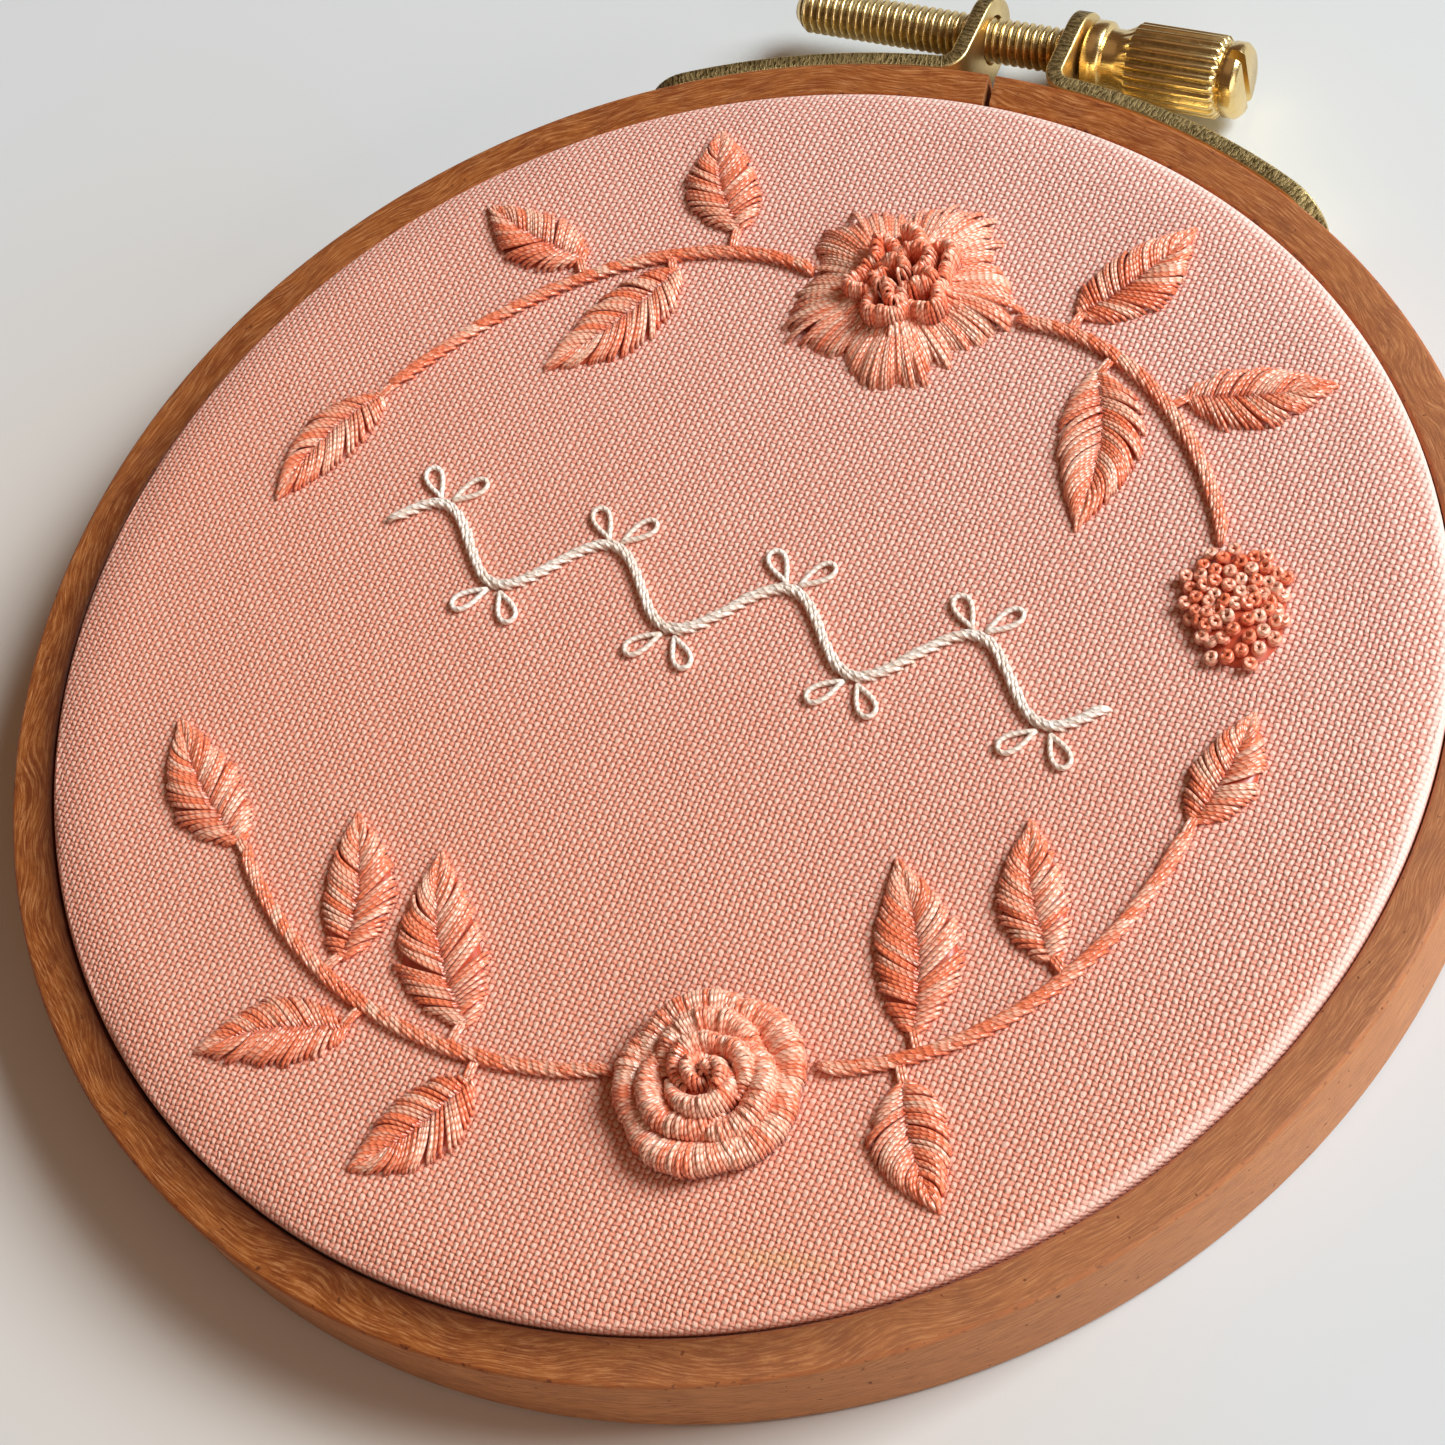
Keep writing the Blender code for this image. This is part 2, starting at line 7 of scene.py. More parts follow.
import math
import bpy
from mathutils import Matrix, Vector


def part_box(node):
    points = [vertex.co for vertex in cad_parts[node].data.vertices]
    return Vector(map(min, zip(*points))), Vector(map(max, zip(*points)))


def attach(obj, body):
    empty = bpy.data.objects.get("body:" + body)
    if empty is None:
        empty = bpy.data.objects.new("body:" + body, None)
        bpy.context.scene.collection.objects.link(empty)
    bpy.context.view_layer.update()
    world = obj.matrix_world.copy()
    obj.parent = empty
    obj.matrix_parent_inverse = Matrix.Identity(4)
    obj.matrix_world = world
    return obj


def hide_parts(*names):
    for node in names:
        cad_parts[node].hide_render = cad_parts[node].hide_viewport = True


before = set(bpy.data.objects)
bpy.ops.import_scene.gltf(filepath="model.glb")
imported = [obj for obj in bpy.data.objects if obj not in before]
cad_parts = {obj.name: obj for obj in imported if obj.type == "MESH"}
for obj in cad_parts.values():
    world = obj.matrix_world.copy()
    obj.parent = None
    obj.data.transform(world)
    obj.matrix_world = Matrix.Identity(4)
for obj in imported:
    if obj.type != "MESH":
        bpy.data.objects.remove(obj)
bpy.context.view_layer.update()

import zlib

import bmesh
import bpy
import numpy as np
from bpy.props import FloatProperty, FloatVectorProperty, IntProperty, PointerProperty
from mathutils import Matrix, Vector

bl_info = {
    "name": "Hoop Embroidery",
    "version": (1, 0, 0),
    "blender": (4, 5, 0),
    "location": "View3D > Sidebar > Hoop",
    "description": "A small wooden hoop with stretched cotton, raised stitching and a brass screw",
    "category": "Object",
}

MM = 0.001

# Places and sizes that come from the solids
RING_LOW, RING_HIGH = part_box("outer_ring")
CLOTH_LOW, CLOTH_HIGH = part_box("cloth")
INNER_LOW, INNER_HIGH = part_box("inner_ring")
SCREW_LOW, SCREW_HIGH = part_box("screw")
CENTRE = Vector(((RING_LOW.x + RING_HIGH.x) / 2, (RING_LOW.y + RING_HIGH.y) / 2, 0.0))
OUTER_RADIUS = (RING_HIGH.x - RING_LOW.x) / 2
OUTER_WALL = 3.5 * MM
RING_HEIGHT = RING_HIGH.z
CLOTH_RADIUS = (CLOTH_HIGH.x - CLOTH_LOW.x) / 2 + 0.15 * MM
CLOTH_TOP = CLOTH_HIGH.z
SKIRT_BOTTOM = CLOTH_LOW.z
INNER_WALL = 4.0 * MM
HALF_SPLIT = 0.32 * MM
INNER_BOTTOM = INNER_LOW.z
SCREW_Y = (SCREW_LOW.y + SCREW_HIGH.y) / 2 - CENTRE.y
SCREW_Z = (SCREW_LOW.z + SCREW_HIGH.z) / 2

# The stalks, leaves and flowers stand where their solids stand
STEMS = {
    "stem_upper_left": ((-6.4, 33.4), (-16.0, 35.5), (-28.0, 29.0), (-35.5, 15.0)),
    "stem_upper_right": ((11.4, 32.4), (18.0, 33.5), (27.0, 29.0), (33.0, 18.0)),
    "stem_lower_left": ((7.1, -34.0), (-2.0, -38.0), (-17.0, -37.0), (-27.0, -27.0)),
    "stem_lower_right": ((20.9, -29.5), (28.5, -27.5), (37.0, -19.0), (38.5, -6.0)),
}
LEAF_FIELDS = ("base_x", "base_y", "heading", "length", "width", "bow")
LEAVES = {
    "leaf_upper_1": (-13.8, 35.6, 122, 11.0, 6.0, 0.8),
    "leaf_upper_2": (-17.2, 31.0, 240, 13.5, 6.2, 0.9),
    "leaf_upper_3": (-25.4, 30.0, 163, 11.0, 5.4, 0.6),
    "leaf_upper_4": (-36.2, 13.6, 250, 12.0, 5.2, -0.7),
    "leaf_upper_5": (15.8, 34.0, 60, 11.5, 6.0, -0.8),
    "leaf_upper_6": (19.0, 29.6, 284, 14.0, 6.4, 1.0),
    "leaf_upper_7": (26.2, 28.8, 20, 11.0, 5.4, -0.6),
    "leaf_lower_1": (-2.2, -37.8, 238, 10.5, 5.8, 0.7),
    "leaf_lower_2": (-4.4, -34.4, 124, 14.5, 6.6, 1.1),
    "leaf_lower_3": (-12.8, -37.2, 206, 11.5, 5.4, -0.7),
    "leaf_lower_4": (-15.6, -32.4, 113, 12.0, 5.6, -0.7),
    "leaf_lower_5": (-27.9, -26.3, 141, 13.0, 5.8, 0.8),
    "leaf_lower_6": (26.8, -28.6, 306, 9.5, 5.4, -0.6),
    "leaf_lower_7": (26.2, -25.2, 117, 13.5, 6.2, -0.9),
    "leaf_lower_8": (33.2, -17.4, 118, 11.0, 5.0, 0.7),
    "leaf_lower_9": (38.7, -4.7, 83, 9.5, 4.8, -0.5),
}
LEAF_HEIGHT = 0.95
LEAF_LEAN = 0.8
LEAF_FULLNESS = 0.85
BLOOM_CENTRE = (1.5, 33.0)
BLOOM_RADIUS = 9.0
BLOOM_PETALS = 5
PETAL_NOTCH = 0.12
ROSE_CENTRE = (14.4, -33.0)
ROSE_RADIUS = 6.6
KNOTS_CENTRE = (35.8, 12.6)
KNOTS_HEADING = math.radians(-62)
KNOTS_RADIUS = 4.9
SCROLL_HALF_LENGTH = 30.0
SCROLL_Y = 2.5
SCROLL_SWING = 2.8
SCROLL_WAVES = 4

# The cloth comes down a little towards the rim, then turns over the inner ring
RIM_DROP = 0.6 * MM
RIM_BEND = 0.6 * MM
SHOULDER = 4.0 * MM
RIM_SLOPE = math.atan(2 * RIM_DROP / SHOULDER)
FLAT_RADIUS = CLOTH_RADIUS - RIM_BEND * (1 - math.sin(RIM_SLOPE))

# A faint stain near the cloth's edge, and how far the floss's ply runs along the thread in one turn
STAIN_PLACE = (23.5, -42.8)
STAIN_SIZE = (5.0, 0.9)
STAIN_TILT = 0.2
PLY_TURN = 0.52

# Camera, matched to the photograph by the circles of both rings
CAMERA_PLACE = Vector((0.0915, -0.0975, 0.1958))
CAMERA_TARGET = Vector((-0.00103, -0.00722, 0.0))
CAMERA_ROLL = math.radians(-25.47)
CAMERA_LENS = 76.79


class HoopSizes(bpy.types.PropertyGroup):
    """Sizes of the finish that a user would change."""

    edge_radius: FloatProperty(
        name="Ring Edge", description="Rounding of the rings' edges", default=0.4 * MM, unit="LENGTH", precision=5
    )
    cloth_thickness: FloatProperty(
        name="Cloth", description="Thickness of the cotton", default=0.4 * MM, unit="LENGTH", precision=5
    )
    warp_pitch: FloatProperty(
        name="Warp Pitch", description="Spacing of the threads that run towards the screw", default=0.44 * MM,
        unit="LENGTH", precision=5,
    )
    weft_pitch: FloatProperty(
        name="Weft Pitch", description="Spacing of the threads that run along the screw", default=0.41 * MM,
        unit="LENGTH", precision=5,
    )
    strand_radius: FloatProperty(
        name="Strand", description="Radius of one strand of floss", default=0.16 * MM, unit="LENGTH", precision=5
    )
    stitch_spacing: FloatProperty(
        name="Stitch Spacing", description="Distance between strands in satin and leaf stitch", default=0.285 * MM,
        unit="LENGTH", precision=5,
    )
    thread_pitch: FloatProperty(
        name="Screw Pitch", description="Rise of the screw's thread in one turn", default=0.7 * MM,
        unit="LENGTH", precision=5,
    )
    knurl_flutes: IntProperty(name="Flutes", description="Flutes round the screw's grip", default=24, min=8)


def colour_property(name, description, default):
    return FloatVectorProperty(
        name=name, description=description, subtype="COLOR", size=3, min=0, max=1, default=default
    )


class HoopColours(bpy.types.PropertyGroup):
    """Colours of the finishes."""

    # The crown colour is a painted highlight on the weave's crowns; the gap colour is painted shade between the
    # threads.
    cloth_crown_highlight: colour_property("Cloth Crowns", "Where a thread of the weave lies on top", (0.97, 0.595, 0.465))
    cloth_body: colour_property("Cloth", "The weave's middle tone", (0.92, 0.315, 0.20))
    cloth_gap_shade: colour_property("Cloth Gaps", "Between the threads", (0.50, 0.09, 0.045))
    floss_pale: colour_property("Floss Light", "The palest filaments of the floss", (1.0, 0.60, 0.43))
    floss_body: colour_property("Floss", "The floss's own colour", (0.92, 0.21, 0.085))
    # Painted shade: the floss's colour down among the stitches' roots and in its ply grooves.
    floss_painted_shade: colour_property("Floss Deep", "Down among the stitches", (0.44, 0.024, 0.004))
    ivory_pale: colour_property("Ivory Light", "The palest filaments of the ivory", (1.0, 0.92, 0.84))
    ivory_body: colour_property("Ivory", "The ivory floss's own colour", (0.92, 0.76, 0.64))
    # Painted shade: the ivory floss's colour down among the stitches' roots and in its ply grooves.
    ivory_painted_shade: colour_property("Ivory Deep", "Down among the ivory stitches", (0.62, 0.34, 0.22))
    wood_light: colour_property("Wood Light", "Pale grain of the stained beech", (0.42, 0.132, 0.026))
    wood_body: colour_property("Wood", "The stained beech's own colour", (0.27, 0.068, 0.010))
    wood_dark: colour_property("Wood Dark", "Flecks and edges of the beech", (0.15, 0.028, 0.006))
    brass: colour_property("Brass", "Polished faces", (0.87, 0.66, 0.31))
    brass_dull: colour_property("Dull Brass", "Sheared edges and hollows", (0.07, 0.045, 0.014))
    floor: colour_property("Floor", "The pale surface under the hoop", (0.71, 0.735, 0.745))


def sizes():
    return bpy.context.scene.hoop_sizes


def colours():
    return bpy.context.scene.hoop_colours


def dice(name):
    """Random numbers that are the same in every run, and different for each piece."""
    return np.random.default_rng(zlib.crc32(name.encode()))


# Materials


class Recipe:
    """A Principled material and short calls that add nodes to it."""

    def __init__(self, name, **shader_values):
        self.material = bpy.data.materials.new(name)
        self.material.use_nodes = True
        self.tree = self.material.node_tree
        self.shader = self.tree.nodes["Principled BSDF"]
        for socket, value in shader_values.items():
            label = socket.replace("_", " ").title().replace("Ior", "IOR")
            self.put(self.shader.inputs[label], value)

    def put(self, socket, value):
        if isinstance(value, bpy.types.NodeSocket):
            self.tree.links.new(value, socket)
        elif hasattr(value, "__len__") and len(value) == 3 and socket.type == "RGBA":
            socket.default_value = (*value, 1.0)
        else:
            socket.default_value = value

    def add(self, kind, output=0, inputs=None, **settings):
        node = self.tree.nodes.new(f"ShaderNode{kind}")
        for name, value in settings.items():
            setattr(node, name, value)
        for key, value in (inputs or {}).items():
            self.put(node.inputs[key], value)
        return node.outputs[output]

    def math(self, operation, first, second=0.0, third=0.0):
        return self.add("Math", inputs={0: first, 1: second, 2: third}, operation=operation)

    def times(self, first, second):
        return self.math("MULTIPLY", first, second)

    def times_plus(self, first, second, added):
        return self.math("MULTIPLY_ADD", first, second, added)

    def plus(self, first, second):
        return self.math("ADD", first, second)

    def less(self, first, second):
        return self.math("SUBTRACT", first, second)

    def length(self, vector):
        return self.add("VectorMath", output=1, inputs={0: vector}, operation="LENGTH")

    def mix(self, share, first, second, blend="MIX"):
        return self.add(
            "Mix", output=2, inputs={0: share, 6: first, 7: second}, data_type="RGBA", blend_type=blend,
            clamp_factor=True,
        )

    def span(self, value, low, high, to_low=0.0, to_high=1.0):
        return self.add("MapRange", inputs={0: value, 1: low, 2: high, 3: to_low, 4: to_high}, clamp=True)

    def vector(self, x, y=0.0, z=0.0):
        return self.add("CombineXYZ", inputs={0: x, 1: y, 2: z})

    def axes(self, vector):
        split = self.tree.nodes.new("ShaderNodeSeparateXYZ")
        self.put(split.inputs[0], vector)
        return split.outputs

    def uv(self, layer):
        return self.axes(self.add("UVMap", uv_map=layer))

    def attribute(self, name):
        return self.add("Attribute", output=2, attribute_name=name)

    def noise(self, vector, scale, detail=2.0, roughness=0.5):
        return self.add("TexNoise", inputs={"Vector": vector, "Scale": scale, "Detail": detail, "Roughness": roughness})

    def bump(self, height, distance, strength=1.0):
        normal = self.add("Bump", inputs={"Height": height, "Distance": distance, "Strength": strength})
        self.put(self.shader.inputs["Normal"], normal)

    def finish(self, colour, roughness=None):
        self.put(self.shader.inputs["Base Color"], colour)
        if roughness is not None:
            self.put(self.shader.inputs["Roughness"], roughness)
        return self.material


def weave_finish():
    """Plain weave on the cloth's flat pattern: crowns with a painted highlight, painted shade in the gaps between them,
    uneven threads, a painted sheen towards the screw, a painted highlight on the rim's lit side, a deeper painted shade
    on the skirt and one faint stain.
    """
    c, s = colours(), sizes()
    r = Recipe("cotton_weave", roughness=0.85, sheen_weight=0.14, sheen_roughness=0.45, specular_ior_level=0.2)
    x, y, _ = r.uv("pattern")
    place = r.vector(x, y)
    drift = r.noise(place, 0.22, 2.0)
    other_drift = r.noise(r.vector(y, x, 7.0), 0.22, 2.0)
    jog = r.noise(place, 1.4, 1.0)
    other_jog = r.noise(r.vector(y, x, 13.0), 1.4, 1.0)
    x_even = r.times_plus(r.less(drift, 0.5), 0.6, x)
    y_even = r.times_plus(r.less(other_drift, 0.5), 0.6, y)
    x_even = r.times_plus(r.less(jog, 0.5), 0.22, x_even)
    y_even = r.times_plus(r.less(other_jog, 0.5), 0.22, y_even)
    warp = r.math("DIVIDE", x_even, s.warp_pitch / MM)
    weft = r.math("DIVIDE", y_even, s.weft_pitch / MM)
    warp_wave = r.math("SINE", r.times(warp, math.pi))
    weft_wave = r.math("SINE", r.times(weft, math.pi))
    warp_round = r.math("POWER", r.math("ABSOLUTE", warp_wave), 0.7)
    weft_round = r.math("POWER", r.math("ABSOLUTE", weft_wave), 0.7)
    warp_tone = r.noise(r.vector(r.times(r.math("FLOOR", warp), 3.7), r.times(y, 0.12)), 1.0, 1.0)
    weft_tone = r.noise(r.vector(r.times(x, 0.12), r.times(r.math("FLOOR", weft), 3.7)), 1.0, 1.0)
    warp_sway = r.times(r.math("SIGN", warp_wave), weft_wave)
    weft_sway = r.times(r.math("SIGN", weft_wave), warp_wave)
    warp_rise = r.times_plus(warp_sway, 0.5, r.times_plus(warp_tone, 0.35, warp_round))
    weft_rise = r.times_plus(weft_sway, -0.5, r.times_plus(weft_tone, 0.35, weft_round))
    weft_rise = r.less(weft_rise, 0.15)
    grain = r.noise(place, 7.0, 2.0)
    rise = r.math("MAXIMUM", warp_rise, weft_rise)
    lift = r.times_plus(grain, 0.55, r.plus(rise, -0.45))
    seen = r.times_plus(r.math("GREATER_THAN", warp_rise, weft_rise), 0.5, lift)
    out = r.length(place)
    rim = CLOTH_RADIUS / MM
    # Painted sheen: towards the screw the body and crowns are painted paler and pinker.
    screwward = r.times_plus(x, 0.5 / rim, r.times(y, 0.85 / rim))
    painted_sheen = r.span(screwward, -0.4, 0.9)
    body = r.mix(painted_sheen, c.cloth_body, (0.82, 0.365, 0.30))
    crown = r.mix(painted_sheen, c.cloth_crown_highlight, (1.0, 0.76, 0.66))
    # Painted shade in the gaps and painted highlight on the crowns; warp crowns are painted paler than weft crowns.
    colour = r.mix(r.span(seen, 0.35, 1.05), c.cloth_gap_shade, body)
    colour = r.mix(r.span(seen, 1.05, 1.7), colour, crown)
    turned_over = r.span(out, rim - 1.1, rim - 0.1)
    # Painted highlight: the turned-over rim is paler on the side towards the window lamp.
    window_side = r.times_plus(x, 0.82 / rim, r.times(y, 0.57 / rim))
    colour = r.mix(r.times(turned_over, r.span(window_side, 0.0, 0.8, 0.1, 0.9)), colour, (1.0, 0.78, 0.70))
    # Painted shade: below the rim the skirt turns a deeper, more saturated tone.
    colour = r.mix(r.span(out, rim + 0.35, rim + 0.9, 0.0, 0.65), colour, (0.92, 0.27, 0.12))
    patch = r.noise(place, 0.05, 3.0, 0.6)
    colour = r.mix(r.span(patch, 0.3, 0.7, 0.0, 0.16), colour, (0.80, 0.30, 0.19))
    stain_x = r.less(x, STAIN_PLACE[0])
    stain_y = r.times_plus(stain_x, -STAIN_TILT, r.less(y, STAIN_PLACE[1]))
    along_stain = r.times(stain_x, 1 / STAIN_SIZE[0])
    across_stain = r.times(stain_y, 1 / STAIN_SIZE[1])
    away = r.length(r.vector(along_stain, across_stain))
    ragged = r.times_plus(r.noise(place, 0.9, 2.0), 0.8, away)
    colour = r.mix(r.span(ragged, 0.5, 1.4, 0.32, 0.0), colour, (0.80, 0.47, 0.14))
    r.bump(r.times(lift, r.times_plus(turned_over, -0.4, 1.0)), 0.12 * MM, 1.0)
    return r.finish(colour)


def floss_finish(name, painted_shade, body, pale):
    """Stranded cotton: fine twisted filaments, paler on the crown of a stitch, with painted shade among its roots and
    in its ply grooves, and a painted glint on its palest places.
    """
    r = Recipe(name, roughness=0.34, sheen_weight=0.2, sheen_roughness=0.35, specular_ior_level=1.0)
    turn, along, _ = r.uv("strand")
    tone = r.attribute("tone")
    crown = r.attribute("crown")
    twisted = r.times_plus(along, 0.9, r.times(turn, 9.0))
    filaments = r.noise(r.vector(twisted, r.times(along, 0.7), r.times(tone, 53.0)), 1.0, 2.0)
    wound = r.times_plus(turn, 2.0, r.times_plus(along, 1 / PLY_TURN, r.times(tone, 7.0)))
    ply = r.math("POWER", r.math("ABSOLUTE", r.math("SINE", r.times(wound, math.pi))), 0.7)
    # The strand's own tone and filaments set the colour, and each ply's crest is painted paler as a highlight.
    light = r.plus(filaments, r.times_plus(tone, 0.45, r.times_plus(ply, 0.28, -0.6)))
    colour = r.mix(r.span(light, 0.2, 0.6), body, pale)
    # Painted glint: the lightest places turn near white.
    colour = r.mix(r.span(light, 0.6, 0.9, 0.0, 0.6), colour, (1.0, 0.82, 0.69))
    # Painted shade in the grooves between the plies.
    colour = r.mix(r.span(ply, 0.0, 0.5, 0.4, 0.0), colour, painted_shade)
    # Painted shade down among a stitch's roots, where the crown attribute is low.
    colour = r.mix(r.span(crown, 0.0, 0.75, 0.85, 0.0), colour, painted_shade)
    r.bump(r.times_plus(filaments, 0.5, ply), 0.07 * MM, 0.7)
    return r.finish(colour)


def wood_finish():
    """Red-brown stained beech: long grain round the ring, short dark flecks, mottling and worn edges, with painted
    light on the upright faces and towards the window lamp, and a painted shadow beside the cloth.
    """
    c = colours()
    r = Recipe("beech_grain", sheen_weight=0.05, sheen_roughness=0.5)
    along, across, _ = r.uv("grain")
    edge = r.attribute("edge")
    bent = r.times_plus(r.noise(r.vector(r.times(along, 0.05), across), 0.6, 1.0), 1.6, across)
    fibres = r.noise(r.vector(r.times(along, 0.22), r.times(bent, 6.0)), 1.0, 4.0, 0.6)
    bands = r.noise(r.vector(r.times(along, 0.03), r.times(bent, 1.1), 3.0), 1.0, 2.0)
    mottle = r.noise(r.vector(r.times(along, 0.33), r.times(across, 0.5), 5.0), 1.0, 3.0, 0.6)
    dashes = r.noise(r.vector(r.times(along, 1.3), r.times(bent, 7.5), 11.0), 1.0, 1.0)
    light = r.plus(r.times(fibres, 0.55), r.times_plus(bands, 0.55, -0.05))
    colour = r.mix(r.span(light, 0.32, 0.72), c.wood_body, c.wood_light)
    colour = r.mix(r.span(mottle, 0.42, 0.68, 0.0, 0.6), colour, c.wood_dark)
    colour = r.mix(r.span(dashes, 0.69, 0.75, 0.0, 0.75), colour, c.wood_dark)
    # Painted light: the upright faces are tinted paler, as the lamp and the floor's bounce light them more than the
    # top.
    upright = r.math("ABSOLUTE", r.axes(r.add("NewGeometry", output=1))[2])
    colour = r.mix(r.span(upright, 0.2, 0.8, 0.3, 0.0), colour, (0.76, 0.36, 0.15))
    r.put(r.shader.inputs["Specular IOR Level"], r.span(upright, 0.2, 0.8, 0.05, 0.22))
    swirl = r.noise(r.vector(r.times(along, 0.08), r.times(across, 0.15), 41.0), 1.0, 1.0)
    crossing = r.times_plus(r.less(swirl, 0.5), 5.0, across)
    fuzz = r.noise(r.vector(r.times(along, 0.4), r.times(crossing, 5.5), 31.0), 1.0, 4.0, 0.75)
    colour = r.mix(r.span(fuzz, 0.49, 0.66, 0.0, 0.8), colour, (0.60, 0.26, 0.095))
    colour = r.mix(r.span(fuzz, 0.5, 0.36, 0.0, 0.6), colour, c.wood_dark)
    worn = r.noise(r.vector(r.times(along, 0.5), across, 23.0), 1.0, 3.0, 0.65)
    stained_edge = r.times(edge, r.span(worn, 0.35, 0.6, 0.2, 0.85))
    colour = r.mix(stained_edge, colour, (0.40, 0.095, 0.014))
    chips = r.noise(r.vector(along, r.times(across, 1.6), 61.0), 1.3, 2.0, 0.6)
    colour = r.mix(r.times(edge, r.span(chips, 0.6, 0.66, 0.0, 0.85)), colour, (0.10, 0.016, 0.003))
    place_x, place_y, _ = r.axes(r.add("TexCoord", output=3))
    plan_x = r.times(r.less(place_x, CENTRE.x), 1 / CLOTH_RADIUS)
    plan_y = r.times(r.less(place_y, CENTRE.y), 1 / CLOTH_RADIUS)
    out = r.length(r.vector(plan_x, plan_y))
    dim = r.times_plus(plan_x, -0.6, r.times(plan_y, -0.8))
    # Painted light: the ring's top is paler towards +X, the side that faces the window lamp.
    painted_lit_side = r.times_plus(plan_x, 0.95, r.times(plan_y, -0.1))
    colour = r.mix(r.span(painted_lit_side, 0.1, 0.9, 0.0, 0.36), colour, (0.58, 0.28, 0.15))
    # Painted shadow: a dark band beside the cloth's rim, strongest on the side away from the window lamp.
    beside_cloth = r.times_plus(r.less(worn, 0.5), 0.02, out)
    painted_cloth_shadow = r.times(r.span(beside_cloth, 1.0, 1.05, 1.0, 0.0), r.span(dim, 0.1, 0.8))
    colour = r.mix(painted_cloth_shadow, colour, (0.05, 0.006, 0.001))
    pores = r.noise(r.vector(along, across, 51.0), 1.7, 1.0)
    colour = r.mix(r.span(pores, 0.74, 0.78, 0.0, 0.7), colour, (0.09, 0.02, 0.007))
    height = r.times_plus(fuzz, 0.8, r.times_plus(dashes, -0.35, fibres))
    r.bump(height, 0.07 * MM, 0.6)
    return r.finish(colour, r.span(fibres, 0.3, 0.7, 0.42, 0.6))


def brass_finish(name, roughness, scratches=0.4):
    """Polished brass with fine wear. The edge attribute marks sheared or hollow places, ribbed and dull."""
    c = colours()
    r = Recipe(name, metallic=1.0)
    along, across, _ = r.uv("grain")
    edge = r.attribute("edge")
    wear = r.noise(r.vector(r.times(along, 0.5), r.times(across, 6.0)), 1.0, 3.0)
    spots = r.noise(r.vector(along, across), 1.6, 3.0)
    torn = r.noise(r.vector(r.times(along, 4.0), r.times(across, 1.3)), 1.0, 3.0, 0.65)
    ribs = r.math("SINE", r.times_plus(torn, 22.0, r.times(along, 15.0)))
    sheared = r.times(edge, r.span(r.times_plus(ribs, 0.1, torn), 0.35, 0.68, 1.0, 0.5))
    colour = r.mix(r.span(spots, 0.45, 0.75, 0.0, 0.25), c.brass, (0.62, 0.38, 0.12))
    colour = r.mix(sheared, colour, c.brass_dull)
    height = r.times_plus(r.times(ribs, edge), 0.8, r.times(wear, scratches))
    r.bump(height, 0.03 * MM, 0.6)
    rough = r.times_plus(edge, 0.25, r.span(wear, 0.3, 0.8, roughness, roughness + 0.14))
    return r.finish(colour, rough)


def finish_named(name):
    """The material of that name, made the first time that it is asked for."""
    known = bpy.data.materials.get(name)
    if known:
        return known
    c = colours()
    recipes = {
        "cotton_weave": weave_finish,
        "salmon_floss_dressed": lambda: floss_finish("salmon_floss_dressed", c.floss_painted_shade, c.floss_body, c.floss_pale),
        "ivory_floss_dressed": lambda: floss_finish("ivory_floss_dressed", c.ivory_painted_shade, c.ivory_body, c.ivory_pale),
        "beech_grain": wood_finish,
        "polished_brass": lambda: brass_finish("polished_brass", 0.2),
        "strip_brass": lambda: brass_finish("strip_brass", 0.26, 0.6),
    }
    return recipes[name]()


# Mesh making


def add_piece(name, data, material, body, replaced=()):
    """Puts a mesh in the scene as a piece of the hoop, in the row's frame."""
    piece = bpy.data.objects.new(name, data)
    bpy.context.scene.collection.objects.link(piece)
    data.materials.append(finish_named(material))
    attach(piece, body)
    if replaced:
        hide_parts(*replaced)
    return piece


def add_stitches(name, floss, colour="salmon"):
    """Puts gathered strands in the scene in place of the solid of that name."""
    add_piece(f"{name}_stitches", floss.mesh(name), f"{colour}_floss_dressed", "hoop", [name])


def set_attribute(data, name, values):
    data.attributes.new(name, "FLOAT", "POINT").data.foreach_set("value", np.asarray(values, dtype=np.float32))


def set_uv(data, name, corners):
    data.uv_layers.new(name=name).data.foreach_set("uv", np.asarray(corners, dtype=np.float32).ravel())


def swept_mesh(name, grid, uv, edge, close_rows, close_columns):
    """A mesh from a grid of points, rows by columns. Rows that aren't closed into a loop get flat ends.

    uv has one more row and column than the grid where it closes, so that the pattern meets itself cleanly.
    """
    rows, columns = grid.shape[:2]
    row_count = rows if close_rows else rows - 1
    column_count = columns if close_columns else columns - 1
    i, j = np.meshgrid(np.arange(row_count), np.arange(column_count), indexing="ij")
    i, j = i.ravel(), j.ravel()
    next_i, next_j = (i + 1) % rows, (j + 1) % columns
    quads = np.stack([i * columns + j, i * columns + next_j, next_i * columns + next_j, next_i * columns + j], axis=1)
    corners = np.stack([uv[i, j], uv[i, j + 1], uv[i + 1, j + 1], uv[i + 1, j]], axis=1).reshape(-1, 2)
    faces = quads.tolist()
    if close_columns and not close_rows:
        faces.append(list(range(columns))[::-1])
        faces.append([(rows - 1) * columns + k for k in range(columns)])
        corners = np.concatenate([corners, uv[0, :columns][::-1], uv[rows - 1, :columns]])
    data = bpy.data.meshes.new(name)
    data.from_pydata(grid.reshape(-1, 3).tolist(), [], faces)
    set_uv(data, "grain", corners)
    set_attribute(data, "edge", edge.ravel())
    data.shade_smooth()
    data.set_sharp_from_angle(angle=math.radians(50))
    return data


